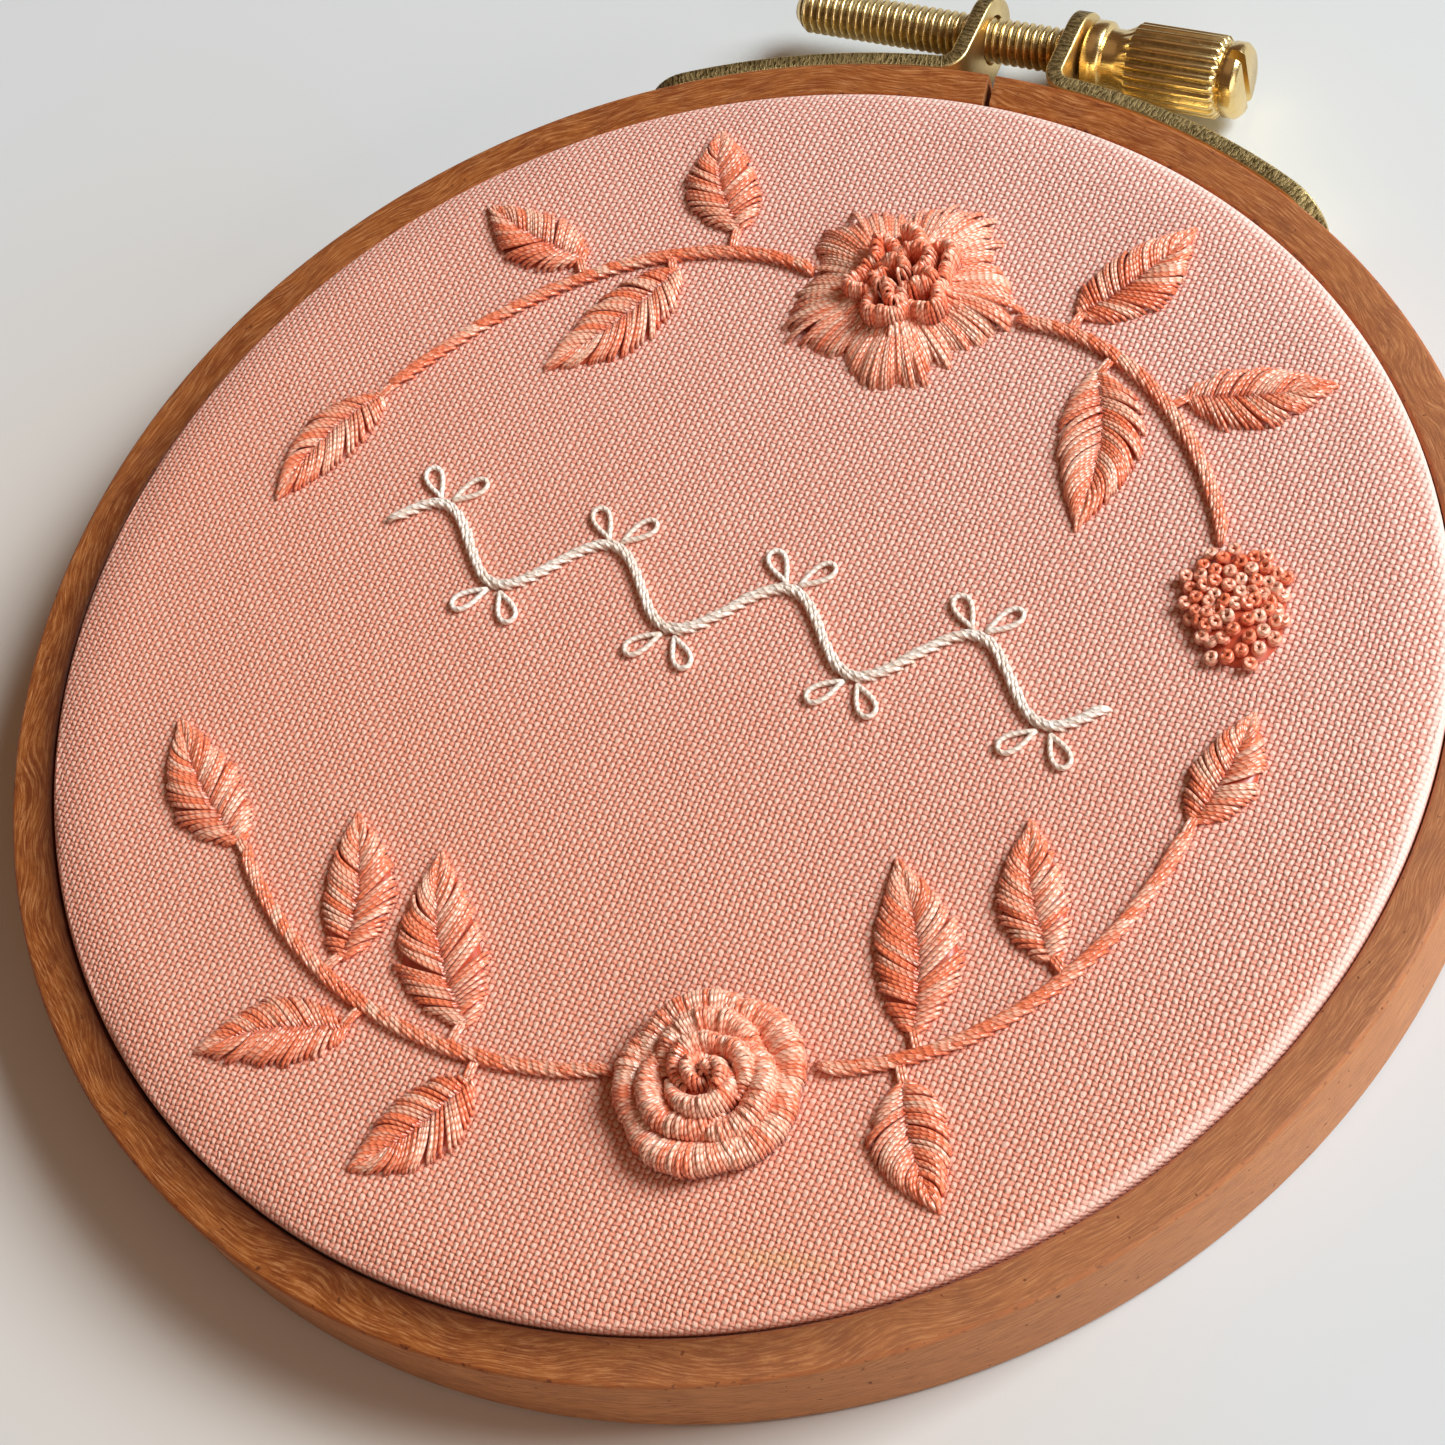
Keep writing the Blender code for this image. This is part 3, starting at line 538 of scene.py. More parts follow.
def rounded_section(inner, outer, bottom, top, fillet, steps=5):
    """Outline of a ring's section as (radius, height), with quarter-round corners and points along its sides."""
    corners = ((outer, top, 90), (outer, bottom, 0), (inner, bottom, -90), (inner, top, -180))
    points, on_edge = [], []
    for radius, height, start in corners:
        centre_r = radius - fillet if radius == outer else radius + fillet
        centre_z = height - fillet if height == top else height + fillet
        for step in range(steps + 1):
            angle = math.radians(start - 90 * step / steps)
            points.append((centre_r + fillet * math.cos(angle), centre_z + fillet * math.sin(angle)))
            on_edge.append(math.sin(math.pi * step / steps))
    return np.array(points)[::-1], np.array(on_edge)[::-1]


def ring_mesh(name, section, on_edge, start, end, steps, slant=0.0):
    """A section turned about the hoop's centre from one angle to another; a full turn closes on itself."""
    whole = abs(end - start - math.tau) < 1e-6
    angles = np.linspace(start, end, steps + 1)
    rows = angles[:-1] if whole else angles
    radius, height = section[:, 0], section[:, 1]
    lean = np.zeros((len(rows), len(radius)))
    if not whole:
        middle = (radius.max() + radius.min()) / 2
        reach = slant * (radius - middle) / radius
        lean[0] = reach
        lean[-1] = reach
    wander = 0.05 * MM * np.sin(3 * rows + 0.7) + 0.03 * MM * np.sin(7 * rows)
    turned = rows[:, None] + lean
    r = radius[None, :] + wander[:, None] * (radius[None, :] > radius.mean())
    grid = np.stack(
        [CENTRE.x + r * np.cos(turned), CENTRE.y + r * np.sin(turned), np.broadcast_to(height, r.shape)], axis=2
    )
    perimeter = np.concatenate([[0], np.cumsum(np.linalg.norm(np.diff(section, axis=0), axis=1))])
    perimeter = np.append(perimeter, perimeter[-1] + np.linalg.norm(section[0] - section[-1])) / MM
    along = angles * radius.max() / MM
    uv = np.stack(np.meshgrid(along, perimeter, indexing="ij"), axis=2)
    edge = np.broadcast_to(on_edge, r.shape)
    return swept_mesh(name, grid, uv, edge, close_rows=whole, close_columns=True)


class Floss:
    """Gathers strands of floss and makes one mesh of them. Points are millimetres above the cloth's face."""

    SIDES = 6

    def __init__(self):
        self.points, self.faces, self.corners, self.tones, self.crowns = [], [], [], [], []
        self.count = 0

    def strands(self, paths, radii, tones, crowns=None, flatten=1.0):
        """paths is strands by points by 3; radii and crowns are strands by points; tones has one for each strand."""
        paths = np.asarray(paths, dtype=float)
        number, length = paths.shape[:2]
        radii = np.broadcast_to(radii, (number, length))
        crowns = np.ones((number, length)) if crowns is None else np.broadcast_to(crowns, (number, length))
        ahead = np.gradient(paths, axis=1)
        ahead /= np.linalg.norm(ahead, axis=2, keepdims=True) + 1e-9
        sideways = np.cross(ahead[:, 0], (0.0, 0.0, 1.0))
        flat = np.linalg.norm(sideways, axis=1) < 0.2
        sideways[flat] = np.cross(ahead[flat, 0], (0.0, 1.0, 0.0))
        frames = np.empty_like(paths)
        for step in range(length):
            sideways = sideways - ahead[:, step] * np.sum(sideways * ahead[:, step], axis=1, keepdims=True)
            sideways /= np.linalg.norm(sideways, axis=1, keepdims=True) + 1e-9
            frames[:, step] = sideways
        upward = np.cross(frames, ahead)
        around = np.arange(self.SIDES) * math.tau / self.SIDES - math.pi / 2
        ring = (
            frames[:, :, None] * np.cos(around)[None, None, :, None]
            + upward[:, :, None] * np.sin(around)[None, None, :, None] * flatten
        )
        tube = paths[:, :, None] + ring * radii[:, :, None, None]
        step_lengths = np.linalg.norm(np.diff(paths, axis=1), axis=2)
        along = np.concatenate([np.zeros((number, 1)), np.cumsum(step_lengths, axis=1)], axis=1)
        base = self.count + np.arange(number) * length * self.SIDES
        i, j = np.meshgrid(np.arange(length - 1), np.arange(self.SIDES), indexing="ij")
        i, j = i.ravel(), j.ravel()
        next_j = (j + 1) % self.SIDES
        pattern = np.stack([i * self.SIDES + j, i * self.SIDES + next_j, (i + 1) * self.SIDES + next_j,
                            (i + 1) * self.SIDES + j], axis=1)
        self.faces += (base[:, None, None] + pattern[None]).reshape(-1, 4).tolist()
        turn = np.stack([j, j + 1, j + 1, j], axis=1) / self.SIDES
        run = along[:, np.stack([i, i, i + 1, i + 1], axis=1)]
        self.corners.append(np.stack([np.broadcast_to(turn, run.shape), run], axis=3).reshape(-1, 2))
        cap = np.arange(self.SIDES)
        first = base[:, None] + cap[::-1]
        last = base[:, None] + (length - 1) * self.SIDES + cap
        self.faces += first.tolist() + last.tolist()
        self.corners.append(np.zeros((2 * number * self.SIDES, 2)))
        self.points.append(tube.reshape(-1, 3))
        self.tones.append(np.repeat(np.asarray(tones, dtype=float), length * self.SIDES))
        self.crowns.append(np.repeat(crowns.ravel(), self.SIDES))
        self.count += number * length * self.SIDES

    def pad(self, top, tone=0.1):
        """A closed low mound under the stitches: a grid of points whose outer ring lies on the cloth."""
        rows, columns = top.shape[:2]
        under = top.copy()
        under[..., 2] = -0.05
        start = self.count
        i, j = np.meshgrid(np.arange(rows - 1), np.arange(columns - 1), indexing="ij")
        i, j = i.ravel(), j.ravel()
        quads = np.stack([i * columns + j, (i + 1) * columns + j, (i + 1) * columns + j + 1, i * columns + j + 1], axis=1)
        below = quads[:, ::-1] + rows * columns
        rim = list(range(columns)) + [r * columns + columns - 1 for r in range(1, rows)]
        rim += [(rows - 1) * columns + k for k in range(columns - 2, -1, -1)] + [r * columns for r in range(rows - 2, 0, -1)]
        rim = np.array(rim)
        after = np.roll(rim, -1)
        sides = np.stack([rim, after, after + rows * columns, rim + rows * columns], axis=1)
        faces = np.concatenate([quads, below, sides]) + start
        self.faces += faces.tolist()
        self.corners.append(np.zeros((4 * len(faces), 2)))
        both = np.concatenate([top.reshape(-1, 3), under.reshape(-1, 3)])
        self.points.append(both)
        self.tones.append(np.full(len(both), tone))
        self.crowns.append(np.full(len(both), 0.15))
        self.count += len(both)

    def mesh(self, name):
        data = bpy.data.meshes.new(name)
        points = np.concatenate(self.points) * MM
        points[:, 2] -= shoulder(np.hypot(points[:, 0], points[:, 1]))
        points += (CENTRE.x, CENTRE.y, CLOTH_TOP)
        data.from_pydata(points.tolist(), [], self.faces)
        set_uv(data, "strand", np.concatenate(self.corners))
        set_attribute(data, "tone", np.concatenate(self.tones))
        set_attribute(data, "crown", np.concatenate(self.crowns))
        data.shade_smooth()
        return data


def shoulder(radius):
    """How far the cloth has come down at a distance from the hoop's centre."""
    return RIM_DROP * np.clip((radius - FLAT_RADIUS + SHOULDER) / SHOULDER, 0.0, 1.0) ** 2


def smooth_step(values):
    clipped = np.clip(values, 0.0, 1.0)
    return clipped * clipped * (3 - 2 * clipped)


def paired_tones(rng, count, lift=0.0):
    """One tone for each strand; two neighbours belong to one stitch and are close."""
    stitch = np.repeat(rng.random(count // 2 + 1), 2)[:count]
    return np.clip(stitch + rng.normal(0, 0.12, count) + lift, 0, 1)


def cubic(ends_and_handles, share):
    p0, p1, p2, p3 = (np.array(p, dtype=float) for p in ends_and_handles)
    share = np.asarray(share, dtype=float)[:, None]
    rest = 1 - share
    return rest**3 * p0 + 3 * rest**2 * share * p1 + 3 * rest * share**2 * p2 + share**3 * p3


def on_path(points, stations):
    """Places and ways ahead on a line in plan, at distances along it."""
    points = np.asarray(points, dtype=float)
    lengths = np.concatenate([[0], np.cumsum(np.linalg.norm(np.diff(points, axis=0), axis=1))])
    ahead = np.gradient(points, axis=0)
    ahead /= np.linalg.norm(ahead, axis=1, keepdims=True)
    place = np.stack([np.interp(stations, lengths, points[:, k]) for k in range(2)], axis=-1)
    way = np.stack([np.interp(stations, lengths, ahead[:, k]) for k in range(2)], axis=-1)
    return place, way, lengths[-1]


def stem_stitch(floss, points, rng, width=0.8, height=0.62, stitch=2.9, advance=1.05, strands=3, radius=0.17):
    """A rope of slanting stitches, each beginning beside the middle of the one before."""
    total = on_path(points, np.array([0.0]))[2]
    starts = np.arange(-0.35 * stitch, total - 0.45 * stitch, advance)
    steps = np.linspace(0, 1, 9)
    paths, tones = [], []
    for start in starts:
        low = max(0.0, start)
        high = min(total, start + stitch)
        tone = rng.random()
        for strand in range(strands):
            beside = (strand - (strands - 1) / 2) * 0.24 + rng.normal(0, 0.03)
            stations = low + (high - low) * steps
            place, way, _ = on_path(points, stations)
            across = np.stack([-way[:, 1], way[:, 0]], axis=1)
            slant = (0.5 - steps) * width * 0.9
            offset = (slant + beside * (0.5 + np.sin(math.pi * steps) * 0.5))[:, None] * across
            hump = height * np.sin(math.pi * np.clip(steps, 0.02, 0.98)) ** 0.5 - 0.12 * abs(beside)
            lift = np.where((steps == 0) | (steps == 1), -0.1, hump - 0.5 * radius)
            paths.append(np.column_stack([place + offset, lift]))
            tones.append(np.clip(tone + rng.normal(0, 0.12), 0, 1))
    taper = radius * (0.55 + 0.45 * np.sin(math.pi * steps) ** 0.5)
    floss.strands(paths, taper, tones, crowns=0.35 + 0.65 * np.sin(math.pi * steps) ** 0.6)


def arches(floss, centres, across, widths, heights, peaks, rng, radius=0.17, base=0.0, jitter=0.05, tone=0.0):
    """Loops that cross a band side by side. peaks says how far each loop's top lies towards its outer foot, 0 to 1."""
    steps = np.linspace(0, 1, 10)
    count = len(centres)
    peaks = np.broadcast_to(peaks, count)[:, None]
    widths = np.broadcast_to(widths, count)[:, None] * (1 + rng.normal(0, jitter, (count, 1)))
    heights = np.broadcast_to(heights, count)[:, None] * (1 + rng.normal(0, jitter, (count, 1)))
    base = np.broadcast_to(base, count)[:, None]
    turn = steps[None, :] * math.pi
    swing = -np.cos(turn)
    rise = np.sin(turn) ** 0.75
    side = widths / 2 * (swing + (2 * peaks - 1) * rise * 0.8)
    plan = centres[:, None, :] + across[:, None, :] * side[:, :, None]
    lift = base + heights * rise
    lift[:, 0] = base[:, 0] - 0.12
    lift[:, -1] = base[:, 0] - 0.12
    paths = np.concatenate([plan, lift[:, :, None]], axis=2)
    taper = radius * (0.7 + 0.3 * np.sin(turn[0]) ** 0.5)
    floss.strands(paths, taper, paired_tones(rng, count, tone), crowns=0.15 + 0.85 * np.sin(turn[0]) ** 0.8)


def to_plan(leaf, x, y):
    """From a leaf's own axes, x towards its tip, to the hoop's plan."""
    turn = math.radians(leaf["heading"])
    return (
        leaf["base_x"] + x * math.cos(turn) - y * math.sin(turn),
        leaf["base_y"] + x * math.sin(turn) + y * math.cos(turn),
    )


def leaf_half_width(share, width):
    return np.maximum(0.05, width / 2 * np.sin(math.pi * np.clip(share, 0, 1) ** LEAF_LEAN) ** LEAF_FULLNESS)


def leaf_pad(floss, leaf):
    """The filling under a leaf's stitches, a little inside its outline."""
    share, across = np.meshgrid(np.linspace(0.04, 0.97, 13), np.linspace(-1, 1, 9), indexing="ij")
    swell = np.sqrt(np.sin(math.pi * share))
    x = share * leaf["length"]
    y = 0.86 * across * leaf_half_width(share, leaf["width"]) + leaf["bow"] * np.sin(math.pi * share)
    lift = 0.62 * LEAF_HEIGHT * swell * (1 - across**2) * (1 - 0.35 * np.exp(-((across / 0.18) ** 2)))
    floss.pad(np.stack([*to_plan(leaf, x, y), lift], axis=2))


def leaf_stitches(floss, leaf, rng):
    """Steep strands from the midrib to both edges, fanned at the stalk and drawn together at the tip."""
    spacing = sizes().stitch_spacing / MM
    radius = sizes().strand_radius / MM
    steps = np.linspace(0, 1, 10)
    length, width, bow = leaf["length"], leaf["width"], leaf["bow"]
    for side in (1, -1):
        count = int(length / spacing)
        root = np.linspace(0.0, 0.9, count) + rng.normal(0, 0.004, count)
        root = np.clip(root, 0.0, 0.95)
        reach = root + 0.05 + 0.19 * smooth_step(root / 0.4) + np.repeat(rng.normal(0, 0.014, count // 2 + 1), 2)[:count]
        ragged = 1 + np.repeat(rng.normal(0.0, 0.05, count // 2 + 1), 2)[:count]
        tip = np.minimum(reach, 0.995 + rng.normal(0, 0.012, count))
        edge_y = side * leaf_half_width(tip, width) * ragged + bow * np.sin(math.pi * np.clip(tip, 0, 1))
        root_y = bow * np.sin(math.pi * root) - side * (0.1 + 0.1 * rng.random(count))
        x = (root[:, None] + (tip - root)[:, None] * steps) * length
        bulge = side * 0.09 * width * np.sin(math.pi * steps) * np.sin(math.pi * root)[:, None]
        y = root_y[:, None] + (edge_y - root_y)[:, None] * steps + bulge
        swell = np.sqrt(np.clip(np.sin(math.pi * np.clip(0.5 * (root + tip), 0.04, 0.96)), 0, 1))
        rise = np.where(
            steps < 0.4,
            0.58 + 0.42 * np.sin(math.pi / 2 * steps / 0.4),
            np.cos(math.pi / 2 * np.clip((steps - 0.4) / 0.6, 0, 1)) ** 0.62,
        )
        lift = (LEAF_HEIGHT - radius) * swell[:, None] * rise + rng.normal(0, 0.035, (count, 1))
        lift[:, -1] = -0.12
        plan_x, plan_y = to_plan(leaf, x, y)
        taper = radius * (0.72 + 0.28 * np.sin(math.pi * np.clip(steps, 0.05, 0.95)) ** 0.6)
        crowns = 0.3 + 0.7 * smooth_step(np.minimum(steps / 0.3, (1.08 - steps) / 0.3))
        floss.strands(np.stack([plan_x, plan_y, lift], axis=2), taper, paired_tones(rng, count), crowns)


def stalk(floss, leaf, rng):
    """A short straight stitch or two from the nearest stem to the leaf's base."""
    base = np.array(to_plan(leaf, 0.6, 0.0))
    stems = np.concatenate([cubic(curve, np.linspace(0, 1, 60)) for curve in STEMS.values()])
    nearest = stems[np.argmin(np.linalg.norm(stems - base, axis=1))]
    steps = np.linspace(0, 1, 8)
    across = np.array([-(base - nearest)[1], (base - nearest)[0]])
    across /= np.linalg.norm(across)
    paths = []
    for beside in (-0.22, 0.0, 0.22):
        plan = nearest + (base - nearest) * (steps[:, None] * 1.12 - 0.06) + across * beside
        lift = 0.5 * np.sin(math.pi * np.clip(steps, 0.03, 0.97)) ** 0.5 - 0.1
        lift[[0, -1]] = -0.1
        paths.append(np.column_stack([plan, lift]))
    radius = sizes().strand_radius / MM
    floss.strands(paths, radius * (0.7 + 0.3 * np.sin(math.pi * steps)), rng.random(3))


# Operators


class HOOP_OT_rings(bpy.types.Operator):
    """Two beech rings: the outer one split at the screw"""

    bl_idname = "hoop.rings"
    bl_label = "Wooden Rings"

    def execute(self, context):
        edge_radius = sizes().edge_radius
        section, on_edge = rounded_section(
            OUTER_RADIUS - OUTER_WALL, OUTER_RADIUS, 0.0, RING_HEIGHT, edge_radius
        )
        half_split = HALF_SPLIT / (OUTER_RADIUS - OUTER_WALL / 2)
        start = math.pi / 2 + half_split
        outer = ring_mesh(
            "outer_ring_wood", section, on_edge, start, start + math.tau - 2 * half_split, 320, slant=0.2
        )
        add_piece("outer_ring_wood", outer, "beech_grain", "hoop", ["outer_ring"])
        outside = CLOTH_RADIUS - sizes().cloth_thickness - 0.25 * MM
        inside = (INNER_HIGH.x - INNER_LOW.x) / 2 - INNER_WALL
        top = CLOTH_TOP - RIM_DROP - sizes().cloth_thickness - 0.1 * MM
        section, on_edge = rounded_section(inside, outside, INNER_BOTTOM, top, edge_radius)
        inner = ring_mesh("inner_ring_wood", section, on_edge, 0.0, math.tau, 256)
        add_piece("inner_ring_wood", inner, "beech_grain", "hoop", ["inner_ring"])
        return {"FINISHED"}


def pucker(x, y):
    """How far the stitches draw the cloth down around them, in millimetres."""
    drawn = np.zeros_like(x)
    spots = [(*BLOOM_CENTRE, BLOOM_RADIUS + 1.5, 0.10), (*ROSE_CENTRE, ROSE_RADIUS + 1.5, 0.12)]
    spots.append((*KNOTS_CENTRE, KNOTS_RADIUS + 1.2, 0.08))
    for row in LEAVES.values():
        leaf = dict(zip(LEAF_FIELDS, row))
        spots.append((*to_plan(leaf, leaf["length"] / 2, leaf["bow"]), leaf["length"] / 2, 0.06))
    for spot_x, spot_y, reach, depth in spots:
        away = np.hypot(x - spot_x, y - spot_y)
        drawn -= depth * np.exp(-((away / reach) ** 2))
    return drawn


class HOOP_OT_cloth(bpy.types.Operator):
    """Cotton stretched over the inner ring, with its skirt down between the rings"""

    bl_idname = "hoop.cloth"
    bl_label = "Stretched Cloth"

    AROUND = 240
    ACROSS = 56

    def execute(self, context):
        bend = np.linspace(RIM_SLOPE, math.pi / 2, 10)[1:]
        edge_top = CLOTH_TOP - RIM_DROP
        bend_end = edge_top - RIM_BEND * math.cos(RIM_SLOPE)
        on_shoulder = np.linspace(FLAT_RADIUS - SHOULDER, FLAT_RADIUS, 13)[1:]
        skirt = np.linspace(bend_end, SKIRT_BOTTOM, 10)[1:]
        radii = np.concatenate([
            np.linspace(0, FLAT_RADIUS - SHOULDER, self.ACROSS)[1:],
            on_shoulder,
            FLAT_RADIUS + RIM_BEND * (np.sin(bend) - math.sin(RIM_SLOPE)),
            np.full(len(skirt), CLOTH_RADIUS),
        ])
        heights = np.concatenate([
            np.full(self.ACROSS - 1, CLOTH_TOP),
            CLOTH_TOP - shoulder(on_shoulder),
            bend_end + RIM_BEND * np.cos(bend),
            skirt,
        ])
        lengths = np.concatenate([[radii[0]], radii[0] + np.cumsum(np.hypot(np.diff(radii), np.diff(heights)))])
        angles = np.arange(self.AROUND) * math.tau / self.AROUND
        r, a = np.meshgrid(radii, angles, indexing="ij")
        x, y = r * np.cos(a) / MM, r * np.sin(a) / MM
        near_rim = np.exp(-(((r - FLAT_RADIUS) / (5 * MM)) ** 2))
        ripple = near_rim * (0.035 * np.sin(31 * a + 1.3 * np.sin(3 * a)) + 0.03 * np.sin(17 * a + 0.6))
        on_top = np.clip((FLAT_RADIUS - r) / (3 * MM), 0, 1)
        z = np.broadcast_to(heights[:, None], r.shape) + MM * (pucker(x, y) * on_top + ripple * (r <= FLAT_RADIUS))
        flat_r = np.broadcast_to(lengths[:, None], r.shape) / MM
        data = bpy.data.meshes.new("cloth_cotton")
        points = np.concatenate([[[0.0, 0.0, CLOTH_TOP]], np.stack([r * np.cos(a), r * np.sin(a), z], axis=2).reshape(-1, 3)])
        points += (CENTRE.x, CENTRE.y, 0.0)
        pattern = np.concatenate([[[0.0, 0.0]], np.stack([flat_r * np.cos(a), flat_r * np.sin(a)], axis=2).reshape(-1, 2)])
        j = np.arange(self.AROUND)
        next_j = (j + 1) % self.AROUND
        faces = np.stack([np.zeros_like(j), 1 + j, 1 + next_j], axis=1).tolist()
        for row in range(len(radii) - 1):
            low, high = 1 + row * self.AROUND, 1 + (row + 1) * self.AROUND
            faces += np.stack([low + j, high + j, high + next_j, low + next_j], axis=1).tolist()
        data.from_pydata(points.tolist(), [], faces)
        loops = np.empty(len(data.loops), dtype=np.int32)
        data.loops.foreach_get("vertex_index", loops)
        set_uv(data, "pattern", pattern[loops])
        data.shade_smooth()
        cloth = add_piece("cloth_cotton", data, "cotton_weave", "hoop", ["cloth"])
        solid = cloth.modifiers.new("thickness", "SOLIDIFY")
        solid.thickness = sizes().cloth_thickness
        solid.offset = -1.0
        return {"FINISHED"}


class HOOP_OT_brackets(bpy.types.Operator):
    """Two brass strips round the ring, bent out into ears for the screw"""

    bl_idname = "hoop.brackets"
    bl_label = "Brass Brackets"

    THICKNESS = 1.4 * MM
    HALF_WIDTH = 3.5 * MM
    END_ANGLE = math.radians(31.0)
    BEND_RADIUS = 1.6 * MM
    EAR_FACE_X = 3.5 * MM
    HOLE_RADIUS = 2.1 * MM
    GAP = 0.2 * MM
    RIVET_RADIUS = 1.2 * MM
    RIVET_ANGLES = (math.radians(13.0), math.radians(24.0))

    def middle_line(self):
        """Rows of a bracket's middle surface as (x, y, half width, run), from the strip's end to the ear's."""
        middle = OUTER_RADIUS + self.GAP + self.THICKNESS / 2
        ear_x = self.EAR_FACE_X + self.THICKNESS / 2
        bend_angle = math.asin((ear_x + self.BEND_RADIUS) / (middle + self.BEND_RADIUS))
        bend_x = (middle + self.BEND_RADIUS) * math.sin(bend_angle)
        bend_y = (middle + self.BEND_RADIUS) * math.cos(bend_angle)
        round_end = self.HALF_WIDTH / middle
        rows = []
        for share in np.linspace(math.radians(8), math.pi / 2, 10):
            angle = self.END_ANGLE - round_end * (1 - math.cos(share))
            rows.append((middle * math.sin(angle), middle * math.cos(angle), self.HALF_WIDTH * math.sin(share)))
        for angle in np.linspace(self.END_ANGLE - round_end, bend_angle, 19)[1:]:
            rows.append((middle * math.sin(angle), middle * math.cos(angle), self.HALF_WIDTH))
        for angle in np.linspace(1.5 * math.pi - bend_angle, math.pi, 9)[1:]:
            rows.append((
                bend_x + self.BEND_RADIUS * math.cos(angle), bend_y + self.BEND_RADIUS * math.sin(angle),
                self.HALF_WIDTH,
            ))
        for share in np.linspace(math.pi / 2, math.radians(7), 12):
            rows.append((ear_x, SCREW_Y + self.HALF_WIDTH * math.cos(share), self.HALF_WIDTH * math.sin(share)))
        return np.array(rows)

    def strip_mesh(self, name, side):
        """The strip as a closed plate: a rounded-edge section carried along the middle line."""
        rows = self.middle_line()
        ahead = np.gradient(rows[:, :2], axis=0)
        ahead /= np.linalg.norm(ahead, axis=1, keepdims=True)
        out = np.stack([-ahead[:, 1], ahead[:, 0]], axis=1)
        run = np.concatenate([[0], np.cumsum(np.linalg.norm(np.diff(rows[:, :2], axis=0), axis=1))])
        half = self.THICKNESS / 2
        chamfer = 0.18 * MM
        outline = []
        for width_side, depth, first_angle in ((-1, -half, 270), (-1, half, 180), (1, half, 90), (1, -half, 0)):
            for step in range(4):
                angle = math.radians(first_angle - 30 * step)
                outline.append((
                    width_side, width_side * chamfer, depth - math.copysign(chamfer, depth),
                    chamfer * math.cos(angle), chamfer * math.sin(angle),
                ))
        grid, edge, uv = [], [], []
        for (x, y, half_width), way, distance in zip(rows, out, run):
            line, on_edge, line_uv = [], [], []
            for width_side, inset, depth, turn_z, turn_out in outline:
                z = width_side * half_width - inset + turn_z
                offset = depth + turn_out
                line.append((side * (x + way[0] * offset) + CENTRE.x, y + way[1] * offset + CENTRE.y, SCREW_Z + z))
                on_edge.append(1.0 if abs(offset) < half - 0.1 * MM else 0.2)
                line_uv.append((distance / MM, (z + offset) / MM))
            grid.append(line)
            edge.append(on_edge)
            uv.append(line_uv + line_uv[:1])
        grid, edge, uv = np.array(grid), np.array(edge), np.array(uv)
        if side > 0:
            grid, edge, uv = grid[::-1], edge[::-1], uv[::-1]
        return swept_mesh(name, grid, uv, edge, close_rows=False, close_columns=True)

    def add_rivets(self, data, side):
        bm = bmesh.new()
        bm.from_mesh(data)
        for angle in self.RIVET_ANGLES:
            made = bmesh.ops.create_uvsphere(bm, u_segments=24, v_segments=12, radius=self.RIVET_RADIUS)
            bmesh.ops.scale(bm, vec=(1.0, 0.55, 1.0), verts=made["verts"])
            reach = OUTER_RADIUS + self.GAP + self.THICKNESS
            spot = Vector((side * reach * math.sin(angle), reach * math.cos(angle), SCREW_Z)) + CENTRE
            turn = Matrix.Rotation(-side * angle, 4, "Z")
            bmesh.ops.transform(bm, matrix=Matrix.Translation(spot) @ turn, verts=made["verts"])
            for v in made["verts"]:
                for face in v.link_faces:
                    face.smooth = True
        bm.to_mesh(data)
        bm.free()

    def execute(self, context):
        for name, side in (("left", -1), ("right", 1)):
            data = self.strip_mesh(f"bracket_{name}_brass", side)
            self.add_rivets(data, side)
            piece = add_piece(f"bracket_{name}_brass", data, "strip_brass", "hoop", [f"bracket_{name}"])
            drill = bmesh.new()
            bmesh.ops.create_cone(
                drill, cap_ends=True, segments=48, radius1=self.HOLE_RADIUS, radius2=self.HOLE_RADIUS, depth=6 * MM
            )
            ear = CENTRE + Vector((side * (self.EAR_FACE_X + self.THICKNESS / 2), SCREW_Y, SCREW_Z))
            cut_out(piece, f"drill_{name}", drill, ear, math.radians(90))
        return {"FINISHED"}


def cut_out(piece, name, tool, place, turn=0.0):
    """Cuts the shape of a bmesh tool out of a piece."""
    data = bpy.data.meshes.new(name)
    tool.to_mesh(data)
    tool.free()
    cutter = bpy.data.objects.new(name, data)
    bpy.context.scene.collection.objects.link(cutter)
    cutter.location = place
    cutter.rotation_euler = (0, turn, 0)
    cut = piece.modifiers.new(name, "BOOLEAN")
    cut.object = cutter
    cut.solver = "EXACT"
    settle(piece)
    bpy.data.objects.remove(cutter)


def settle(piece):
    """Applies a piece's modifiers to its mesh."""
    bpy.context.view_layer.update()
    graph = bpy.context.evaluated_depsgraph_get()
    made = bpy.data.meshes.new_from_object(piece.evaluated_get(graph), preserve_all_data_layers=True, depsgraph=graph)
    piece.modifiers.clear()
    piece.data = made


